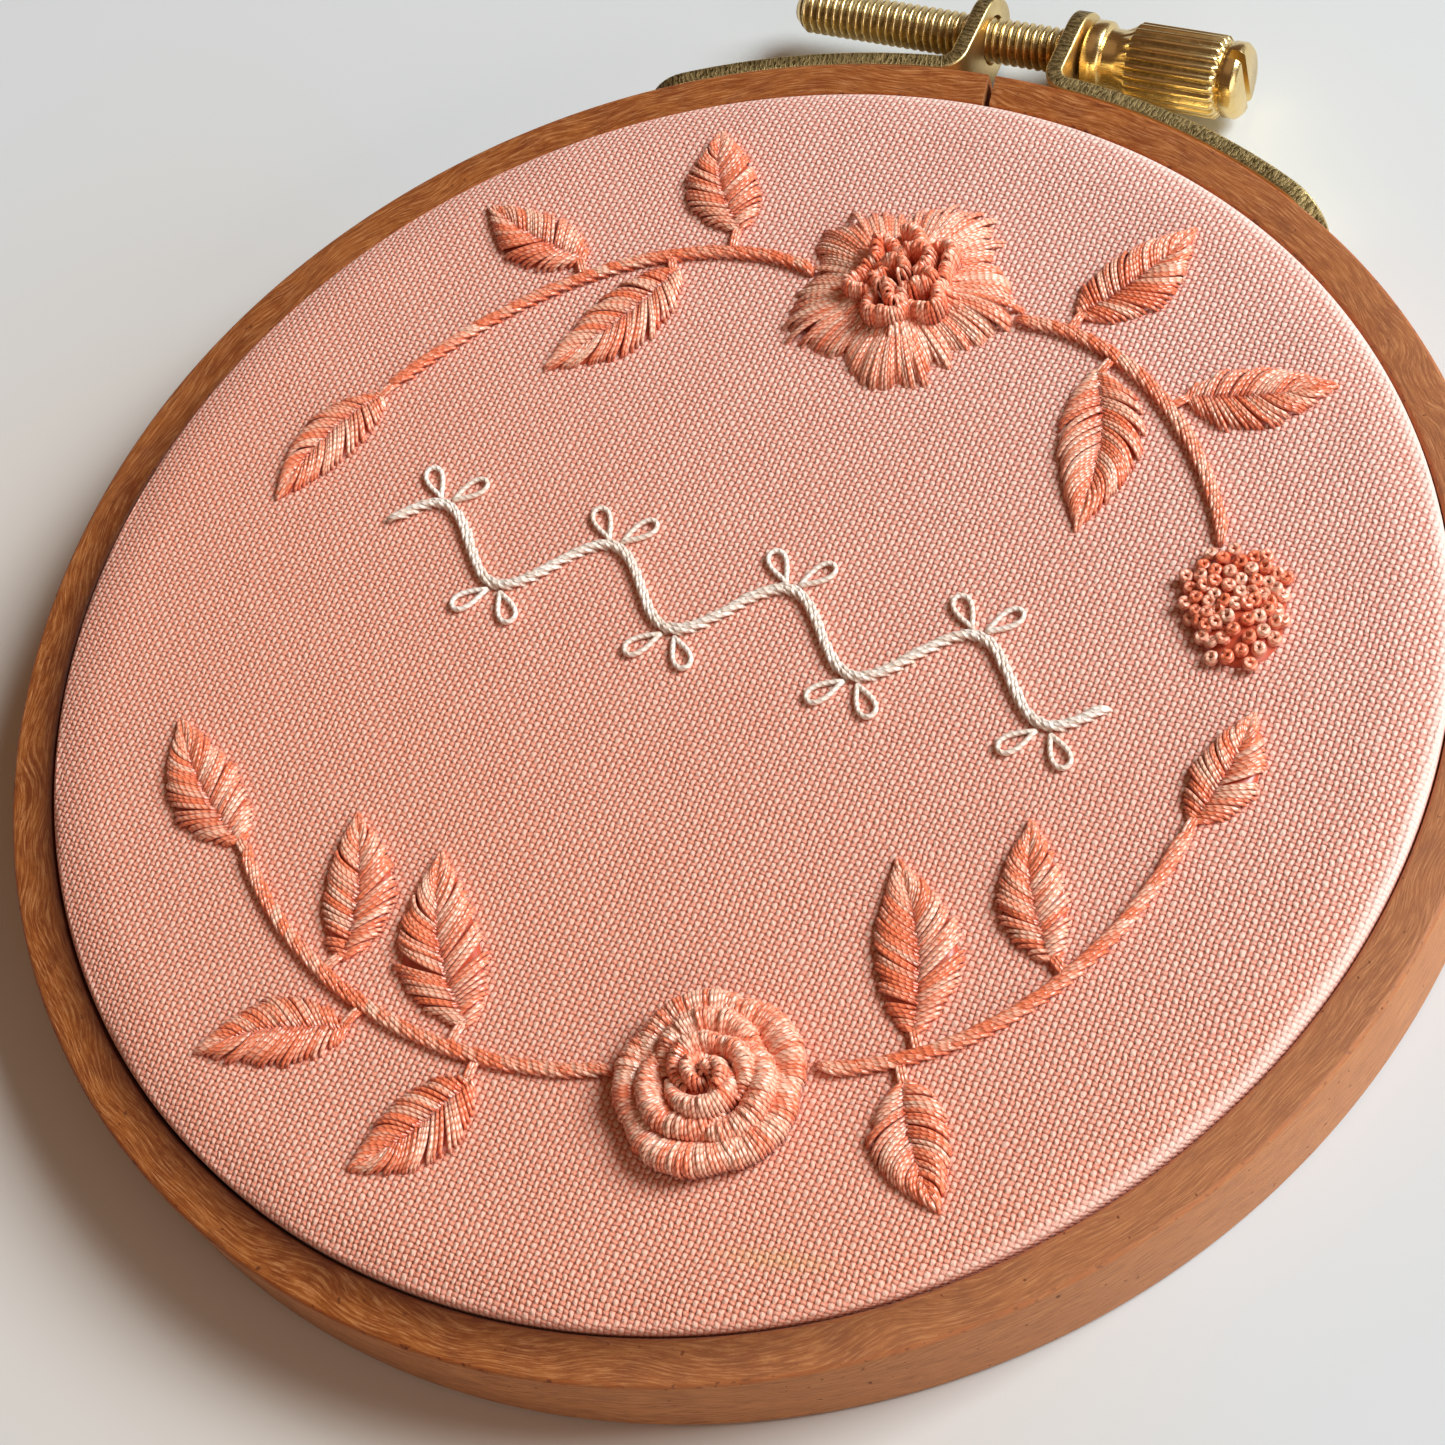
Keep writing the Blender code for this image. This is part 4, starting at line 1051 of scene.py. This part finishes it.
class HOOP_OT_screw(bpy.types.Operator):
    """The brass screw: a real helix, a fluted grip and a slot"""

    bl_idname = "hoop.screw"
    bl_label = "Screw"

    TIP_X = -21.4 * MM
    CREST = 1.9 * MM
    ROOT = 1.5 * MM
    COLLAR_START = 5.2 * MM
    COLLAR_RADIUS = 3.05 * MM
    NECK_RADIUS = 2.55 * MM
    KNURL_START = 9.0 * MM
    KNURL_END = 16.8 * MM
    KNURL_CREST = 3.4 * MM
    FLUTE_DEPTH = 0.3 * MM
    END_RADIUS = 3.1 * MM
    HEAD_END = 18.6 * MM
    SLOT_HALF = 0.45 * MM
    SLOT_DEPTH = 1.1 * MM

    def rod(self):
        """The thread from its coned tip into the head, as one helix."""
        pitch = sizes().thread_pitch
        around = 28
        rows = int((self.COLLAR_START + 1 * MM - self.TIP_X) / (pitch / 9))
        x = np.linspace(self.TIP_X, self.COLLAR_START + 1 * MM, rows)
        angles = np.arange(around) * math.tau / around
        turn = (x[:, None] / pitch - angles[None, :] / math.tau) % 1.0
        vee = 1 - np.abs(2 * turn - 1)
        profile = smooth_step((vee - 0.12) / 0.76)
        radius = self.ROOT + (self.CREST - self.ROOT) * profile
        cone = 1.0 * MM + 0.9 * (x - self.TIP_X)[:, None]
        radius = np.minimum(radius, cone)
        edge = 0.75 * (1 - profile)
        return x, angles, radius, edge

    def head(self):
        """The turned head from its collar to its end, fluted along the grip."""
        chamfer = 0.35 * MM
        flutes = sizes().knurl_flutes
        angles = np.arange(flutes * 8) * math.tau / (flutes * 8)
        stations = [
            (self.COLLAR_START, 1.6 * MM, 0), (self.COLLAR_START, self.COLLAR_RADIUS - 0.2 * MM, 0),
            (self.COLLAR_START + 0.2 * MM, self.COLLAR_RADIUS, 0), (self.COLLAR_START + 1.4 * MM, self.COLLAR_RADIUS, 0),
            (self.COLLAR_START + 1.6 * MM, self.COLLAR_RADIUS - 0.2 * MM, 0),
            (self.COLLAR_START + 1.75 * MM, self.NECK_RADIUS, 0), (self.KNURL_START - 1.1 * MM, self.NECK_RADIUS, 0),
            (self.KNURL_START - 0.7 * MM, self.NECK_RADIUS + 0.15 * MM, 0),
            (self.KNURL_START, self.KNURL_CREST - chamfer, 0.3),
            (self.KNURL_START + 0.15 * MM, self.KNURL_CREST - 0.5 * chamfer, 0.7),
            (self.KNURL_START + chamfer, self.KNURL_CREST, 1), (self.KNURL_END - chamfer, self.KNURL_CREST, 1),
            (self.KNURL_END - 0.15 * MM, self.KNURL_CREST - 0.5 * chamfer, 0.7),
            (self.KNURL_END, self.KNURL_CREST - chamfer, 0.2), (self.KNURL_END + 0.1 * MM, self.END_RADIUS - 0.25 * MM, 0),
            (self.KNURL_END + 0.3 * MM, self.END_RADIUS - 0.2 * MM, 0), (self.KNURL_END + 0.5 * MM, self.END_RADIUS, 0),
            (self.HEAD_END - 0.5 * MM, self.END_RADIUS, 0), (self.HEAD_END - 0.38 * MM, self.END_RADIUS - 0.04 * MM, 0),
            (self.HEAD_END - 0.04 * MM, self.END_RADIUS - 0.36 * MM, 0), (self.HEAD_END, self.END_RADIUS - 0.45 * MM, 0),
        ]
        table = np.array(stations)
        wave = 0.5 - 0.5 * np.cos(flutes * angles)
        valley = smooth_step((wave - 0.3) / 0.65)
        radius = table[:, 1:2] - self.FLUTE_DEPTH * table[:, 2:3] * valley[None, :]
        edge = 0.6 * table[:, 2:3] * valley[None, :]
        return table[:, 0], angles, radius, edge

    def turned(self, name, x, angles, radius, edge):
        grid = np.stack([
            CENTRE.x + np.broadcast_to(x[:, None], radius.shape),
            CENTRE.y + SCREW_Y + radius * np.cos(angles)[None, :],
            SCREW_Z + radius * np.sin(angles)[None, :],
        ], axis=2)
        run = np.broadcast_to((x / MM)[:, None], (len(x), len(angles) + 1))
        turn = np.broadcast_to(np.append(angles, math.tau)[None, :] * self.END_RADIUS / MM, run.shape)
        return swept_mesh(name, grid, np.stack([run * 0.3, turn], axis=2), edge, close_rows=False, close_columns=True)

    def execute(self, context):
        rod = self.turned("screw_rod", *self.rod())
        head = self.turned("screw_head", *self.head())
        add_piece("screw_rod", rod, "polished_brass", "screw", ["screw"])
        piece = add_piece("screw_head", head, "polished_brass", "screw", ["screw"])
        blade = bmesh.new()
        bmesh.ops.create_cube(blade, size=1.0)
        reach = (2 * self.SLOT_DEPTH, 2 * self.SLOT_HALF, 4 * self.KNURL_CREST)
        bmesh.ops.scale(blade, vec=reach, verts=blade.verts)
        cut_out(piece, "slot", blade, CENTRE + Vector((self.HEAD_END, SCREW_Y, SCREW_Z)))
        return {"FINISHED"}


class HOOP_OT_stems(bpy.types.Operator):
    """The four stalks in stem stitch"""

    bl_idname = "hoop.stems"
    bl_label = "Stems"

    def execute(self, context):
        for name, curve in STEMS.items():
            floss = Floss()
            stem_stitch(floss, cubic(curve, np.linspace(-0.01, 1.02, 80)), dice(name))
            add_stitches(name, floss)
        return {"FINISHED"}


class HOOP_OT_leaves(bpy.types.Operator):
    """Padded leaves in fishbone stitch, each with its stalk"""

    bl_idname = "hoop.leaves"
    bl_label = "Leaves"

    def execute(self, context):
        for name, row in LEAVES.items():
            leaf = dict(zip(LEAF_FIELDS, row))
            rng = dice(name)
            floss = Floss()
            leaf_pad(floss, leaf)
            leaf_stitches(floss, leaf, rng)
            stalk(floss, leaf, rng)
            add_stitches(name, floss)
        return {"FINISHED"}


def round_pad(floss, centre, plan, height, rings=7, around=32):
    """A low closed mound under a flower: its middle is one point and its rim lies on the cloth."""
    share, angle = np.meshgrid(np.linspace(0, 1, rings), np.linspace(0, math.tau, around), indexing="ij")
    reach = plan(angle) * share
    lift = height * (1 - share**2) ** 0.7
    floss.pad(np.stack([centre[0] + reach * np.cos(angle), centre[1] + reach * np.sin(angle), lift], axis=2))


class HOOP_OT_bloom(bpy.types.Operator):
    """An open flower: five petals in long and short stitch round a ruffle of loops"""

    bl_idname = "hoop.bloom"
    bl_label = "Bloom"

    def petal_reach(self, angle):
        return BLOOM_RADIUS * (1 - 2 * PETAL_NOTCH + 2 * PETAL_NOTCH * np.abs(np.cos(BLOOM_PETALS / 2 * angle)) ** 0.7)

    def petals(self, floss, rng, count, inner, outer_share, lift_by, reach_jitter):
        steps = np.linspace(0, 1, 10)
        angle = (np.arange(count) + rng.normal(0, 0.2, count)) * math.tau / count
        fan = 0.1 * np.sin(BLOOM_PETALS * angle)
        reach = self.petal_reach(angle) * outer_share * (1 + np.repeat(rng.normal(0, reach_jitter, count // 2 + 1), 2)[:count])
        r = inner + (reach - inner)[:, None] * steps
        turn = angle[:, None] - fan[:, None] * (1 - steps) ** 1.5
        crest = 0.95 + 0.3 * np.cos(BLOOM_PETALS * angle)
        lift = crest[:, None] * (0.75 + 0.35 * np.sin(math.pi * steps * 0.8)) * np.cos(math.pi / 2 * steps**2.2) ** 0.7
        lift = lift + lift_by * (1 - steps) + rng.normal(0, 0.05, (count, 1))
        lift[:, -1] = -0.12 if outer_share > 0.95 else lift[:, -2] - 0.25
        paths = np.stack([
            BLOOM_CENTRE[0] + r * np.cos(turn), BLOOM_CENTRE[1] + r * np.sin(turn), lift,
        ], axis=2)
        radius = sizes().strand_radius / MM
        crowns = smooth_step((steps + 0.05) / 0.55) * 0.75 + 0.25
        # Tones lifted by 0.25: the petals are painted paler to offset the shade among the bloom's stitches.
        tones = paired_tones(rng, count, 0.25)
        floss.strands(paths, radius * (0.8 + 0.2 * np.sin(math.pi * steps)), tones, crowns)

    def ruffle(self, floss, rng):
        """A band of tall loops that meanders round the heart and winds into it."""
        turns = np.linspace(0, 1, 1200)
        angle = math.tau * 2.3 * turns
        swing = 0.55 * np.sin(5.3 * angle) + 0.3 * np.sin(8.9 * angle + 1.0)
        reach = 0.25 + 3.9 * turns**0.85 + swing * smooth_step(turns * 2.2)
        points = np.stack([BLOOM_CENTRE[0] + reach * np.cos(angle), BLOOM_CENTRE[1] + reach * np.sin(angle)], axis=1)
        total = on_path(points, np.array([0.0]))[2]
        stations = np.arange(0, total, 0.19)
        place, way, _ = on_path(points, stations)
        way /= np.linalg.norm(way, axis=1, keepdims=True)
        across = np.stack([way[:, 1], -way[:, 0]], axis=1)
        share = stations / total
        heights = 3.1 - 0.9 * share + 0.3 * np.sin(stations * 1.3)
        arches(floss, place, across, 1.15, heights, 0.6, rng, radius=0.15, base=0.2)

    def execute(self, context):
        rng = dice("bloom")
        floss = Floss()
        round_pad(floss, BLOOM_CENTRE, lambda angle: 0.9 * self.petal_reach(angle), 1.0)
        self.petals(floss, rng, 250, 2.4, 1.0, 0.0, 0.05)
        self.petals(floss, rng, 170, 2.4, 0.68, 0.5, 0.1)
        self.ruffle(floss, rng)
        add_stitches("bloom", floss)
        return {"FINISHED"}


class HOOP_OT_rose(bpy.types.Operator):
    """A raised rose: cupped petals of close loops round a wound heart"""

    bl_idname = "hoop.rose"
    bl_label = "Rose"

    PAD_RADIUS = 5.4
    PETAL_FIELDS = ("middle", "span", "reach", "width", "height", "peak")
    PETALS = (
        (205, 140, 5.0, 2.7, 1.9, 0.82),
        (275, 130, 5.2, 2.6, 2.1, 0.82),
        (345, 140, 5.0, 2.7, 1.9, 0.82),
        (60, 140, 5.1, 2.7, 2.0, 0.82),
        (132, 130, 5.1, 2.6, 2.1, 0.82),
        (240, 150, 3.6, 2.3, 2.9, 0.78),
        (0, 160, 3.7, 2.3, 2.8, 0.78),
        (120, 150, 3.6, 2.3, 3.0, 0.78),
        (300, 190, 2.2, 1.7, 3.6, 0.68),
        (150, 180, 2.1, 1.7, 3.5, 0.68),
        (48, 130, 2.5, 1.8, 3.3, 0.7),
        (30, 170, 1.1, 1.25, 3.85, 0.6),
        (205, 200, 0.95, 1.2, 3.8, 0.55),
        (120, 330, 0.3, 0.9, 3.7, 0.5),
    )

    def petal(self, floss, petal, rng):
        share = np.linspace(0, 1, 120)
        angle = np.radians(petal["middle"] + petal["span"] * (share - 0.5))
        swell = np.sin(math.pi * share)
        reach = petal["reach"] * (0.86 + 0.16 * swell) + 0.9 * (0.5 - share)
        points = np.stack([ROSE_CENTRE[0] + reach * np.cos(angle), ROSE_CENTRE[1] + reach * np.sin(angle)], axis=1)
        total = on_path(points, np.array([0.0]))[2]
        stations = np.arange(0.1, total, 0.22)
        place, way, _ = on_path(points, stations)
        way /= np.linalg.norm(way, axis=1, keepdims=True)
        across = np.stack([way[:, 1], -way[:, 0]], axis=1)
        part = stations / total
        fat = np.sin(math.pi * np.clip(part, 0.06, 0.94)) ** 0.55
        # Tone lifted by 0.3: the rose's loops are painted paler to offset the shade they cast on each other.
        arches(
            floss, place, across, petal["width"] * (0.35 + 0.65 * fat), petal["height"] * (0.4 + 0.6 * fat),
            petal["peak"], rng, radius=0.16, jitter=0.03, tone=0.3,
        )

    def execute(self, context):
        rng = dice("rose")
        floss = Floss()
        round_pad(floss, ROSE_CENTRE, lambda angle: self.PAD_RADIUS + 0 * angle, 1.9)
        for row in self.PETALS:
            self.petal(floss, dict(zip(self.PETAL_FIELDS, row)), rng)
        add_stitches("rose", floss)
        return {"FINISHED"}


class HOOP_OT_knots(bpy.types.Operator):
    """A cluster of French knots, each a little coil with a dimple"""

    bl_idname = "hoop.knots"
    bl_label = "Knots"

    COUNT = 62
    COIL_RADIUS = 0.37
    THREAD_RADIUS = 0.215

    def reach(self, angle):
        return KNOTS_RADIUS * (1 + 0.15 * np.cos(2 * angle) + 0.06 * np.cos(3 * angle))

    def knot(self, spot, lift, rng):
        """Two turns and a bit round the needle, then down through the middle."""
        steps = np.linspace(0, 1, 26)
        lean = rng.normal(0, 0.16, 2)
        turn = steps * math.tau * 2.1 + rng.random() * math.tau
        reach = self.COIL_RADIUS * (1 - 0.18 * steps) * (1 - smooth_step((steps - 0.88) / 0.12) * 0.75)
        height = 0.16 + 0.5 * steps - 0.45 * smooth_step((steps - 0.88) / 0.12)
        x, y = reach * np.cos(turn), reach * np.sin(turn)
        height = height + lean[0] * x + lean[1] * y
        return np.stack([spot[0] + x, spot[1] + y, lift + height], axis=1)

    def execute(self, context):
        rng = dice("knots")
        floss = Floss()

        def turned_reach(angle):
            return 0.85 * self.reach(angle - KNOTS_HEADING)

        round_pad(floss, KNOTS_CENTRE, turned_reach, 0.95)
        number = np.arange(self.COUNT)
        share = np.sqrt((number + 0.5) / self.COUNT)
        angle = number * math.pi * (3 - math.sqrt(5))
        reach = share * (self.reach(angle) - 0.55)
        plan = angle + KNOTS_HEADING
        spots = np.stack([KNOTS_CENTRE[0] + reach * np.cos(plan), KNOTS_CENTRE[1] + reach * np.sin(plan)], axis=1)
        spots += rng.normal(0, 0.07, spots.shape)
        lifts = 0.75 * (1 - share**2) + rng.uniform(-0.08, 0.18, self.COUNT)
        paths = [self.knot(spot, lift, rng) for spot, lift in zip(spots, lifts)]
        rise = np.linspace(0.35, 1.0, 26)
        rise[-2:] = 0.2
        floss.strands(paths, self.THREAD_RADIUS, rng.random(self.COUNT), rise)
        add_stitches("knots", floss)
        return {"FINISHED"}


class HOOP_OT_scroll(bpy.types.Operator):
    """The ivory running scroll with a small loop leaf at each turn"""

    bl_idname = "hoop.scroll"
    bl_label = "Ivory Scroll"

    def loop_leaf(self, spot, heading, length=3.0, width=1.25):
        """A single chain stitch: out along one side, round the tip and back."""
        steps = np.linspace(0, 1, 20)
        turn = steps * math.tau
        x = length * (0.5 - 0.5 * np.cos(turn))
        y = width * np.sin(turn) * np.sin(turn / 2) ** 1.4 * 0.75
        plan_x = spot[0] + x * math.cos(heading) - y * math.sin(heading)
        plan_y = spot[1] + x * math.sin(heading) + y * math.cos(heading)
        lift = 0.16 + 0.12 * np.sin(turn / 2)
        lift[[0, -1]] = -0.1
        return np.stack([plan_x, plan_y, lift], axis=1)

    def execute(self, context):
        rng = dice("scroll")
        floss = Floss()
        share = np.linspace(0, 1, 400)
        x = SCROLL_HALF_LENGTH * (2 * share - 1)
        points = np.stack([x, SCROLL_Y + SCROLL_SWING * np.sin(math.tau * SCROLL_WAVES * share)], axis=1)
        stem_stitch(floss, points, rng, width=0.6, height=0.6, stitch=2.6, advance=1.0, strands=2, radius=0.19)
        loops = []
        for wave in range(2 * SCROLL_WAVES):
            crest = (wave + 0.5) / (2 * SCROLL_WAVES)
            up = 1 if wave % 2 == 0 else -1
            for lean in (0.55, -0.55):
                spot_x = SCROLL_HALF_LENGTH * (2 * crest - 1) + lean
                spot_y = SCROLL_Y + up * (SCROLL_SWING + 0.55)
                loops.append(self.loop_leaf((spot_x, spot_y), math.radians(90 * up - 42 * np.sign(lean) * up)))
        floss.strands(loops, 0.21, rng.random(len(loops)))
        add_stitches("scroll", floss, "ivory")
        return {"FINISHED"}


class HOOP_OT_stage(bpy.types.Operator):
    """Pale floor, soft window light and the camera"""

    bl_idname = "hoop.stage"
    bl_label = "Stage"

    ROOM_COLOUR = (1.0, 0.54, 0.30)
    ROOM_STRENGTH = 0.12
    LAMPS = (
        ("window", (1.16, 0.87, 1.14), (0.9, 0.9), 48.8, (0.90, 0.97, 1.0)),
        ("pale wall", (1.0, -0.5, 0.35), (0.9, 0.6), 4.0, (1.0, 0.93, 0.86)),
        ("fill", (-0.3, 0.1, 0.9), (0.9, 0.9), 0.55, (1.0, 0.70, 0.46)),
    )

    def floor(self):
        bpy.ops.mesh.primitive_plane_add(size=4.0, location=(0, 0, -0.00005))
        floor = bpy.context.object
        floor.name = "floor"
        r = Recipe("floor_paper", roughness=0.75, specular_ior_level=0.2)
        place = r.add("TexCoord", output=3)
        cloudy = r.noise(place, 6.0, 2.0)
        colour = r.mix(r.span(cloudy, 0.3, 0.7, 0.0, 0.3), colours().floor, (0.69, 0.71, 0.715))
        x, y, _ = r.axes(place)
        away = r.length(place)
        shaded = r.math("DIVIDE", r.times_plus(x, -0.6, r.times(y, -0.8)), away)
        # Painted shade: near the hoop, on its shaded side, the floor is painted a warmer, darker tint.
        painted_warm_shade = r.times(r.span(away, 0.05, 0.1, 0.7, 0.0), r.span(shaded, 0.0, 0.7))
        floor.data.materials.append(r.finish(r.mix(painted_warm_shade, colour, (0.74, 0.58, 0.44))))

    def lamp(self, name, place, size, power, colour):
        data = bpy.data.lights.new(name, "AREA")
        data.shape = "RECTANGLE"
        data.size, data.size_y = size
        data.energy = power
        data.color = colour
        lamp = bpy.data.objects.new(name, data)
        bpy.context.scene.collection.objects.link(lamp)
        lamp.location = place
        lamp.rotation_euler = (CENTRE - Vector(place)).to_track_quat("-Z", "Y").to_euler()

    def sky(self):
        world = bpy.data.worlds.new("room")
        world.use_nodes = True
        tree = world.node_tree
        tree.nodes["Background"].inputs["Color"].default_value = (*self.ROOM_COLOUR, 1.0)
        tree.nodes["Background"].inputs["Strength"].default_value = self.ROOM_STRENGTH
        bpy.context.scene.world = world

    def camera(self):
        data = bpy.data.cameras.new("camera")
        data.lens = CAMERA_LENS
        data.sensor_width = 36.0
        data.clip_start, data.clip_end = 0.01, 10.0
        camera = bpy.data.objects.new("camera", data)
        bpy.context.scene.collection.objects.link(camera)
        camera.location = CAMERA_PLACE
        aim = (CAMERA_TARGET - CAMERA_PLACE).to_track_quat("-Z", "Y")
        roll = Matrix.Rotation(CAMERA_ROLL, 3, "Z").to_quaternion()
        camera.rotation_mode = "QUATERNION"
        camera.rotation_quaternion = aim @ roll
        bpy.context.scene.camera = camera

    def execute(self, context):
        self.floor()
        for row in self.LAMPS:
            self.lamp(*row)
        self.sky()
        self.camera()
        context.scene.view_settings.view_transform = "Standard"
        return {"FINISHED"}


PIECES = (
    HOOP_OT_stage,
    HOOP_OT_rings,
    HOOP_OT_cloth,
    HOOP_OT_brackets,
    HOOP_OT_screw,
    HOOP_OT_stems,
    HOOP_OT_leaves,
    HOOP_OT_bloom,
    HOOP_OT_rose,
    HOOP_OT_knots,
    HOOP_OT_scroll,
)


class HOOP_PT_panel(bpy.types.Panel):
    """Lists the pieces, the sizes and the colours"""

    bl_idname = "HOOP_PT_panel"
    bl_label = "Hoop Embroidery"
    bl_space_type = "VIEW_3D"
    bl_region_type = "UI"
    bl_category = "Hoop"

    def draw(self, context):
        for piece in PIECES:
            self.layout.operator(piece.bl_idname)
        for group in (context.scene.hoop_sizes, context.scene.hoop_colours):
            box = self.layout.box()
            for name in group.__annotations__:
                box.prop(group, name)


CLASSES = (HoopSizes, HoopColours, *PIECES, HOOP_PT_panel)


def register():
    for made in CLASSES:
        bpy.utils.register_class(made)
    bpy.types.Scene.hoop_sizes = PointerProperty(type=HoopSizes)
    bpy.types.Scene.hoop_colours = PointerProperty(type=HoopColours)


def unregister():
    del bpy.types.Scene.hoop_colours
    del bpy.types.Scene.hoop_sizes
    for made in reversed(CLASSES):
        bpy.utils.unregister_class(made)


def main():
    register()
    for piece in PIECES:
        group, name = piece.bl_idname.split(".")
        getattr(getattr(bpy.ops, group), name)()


if __name__ == "__main__":
    main()
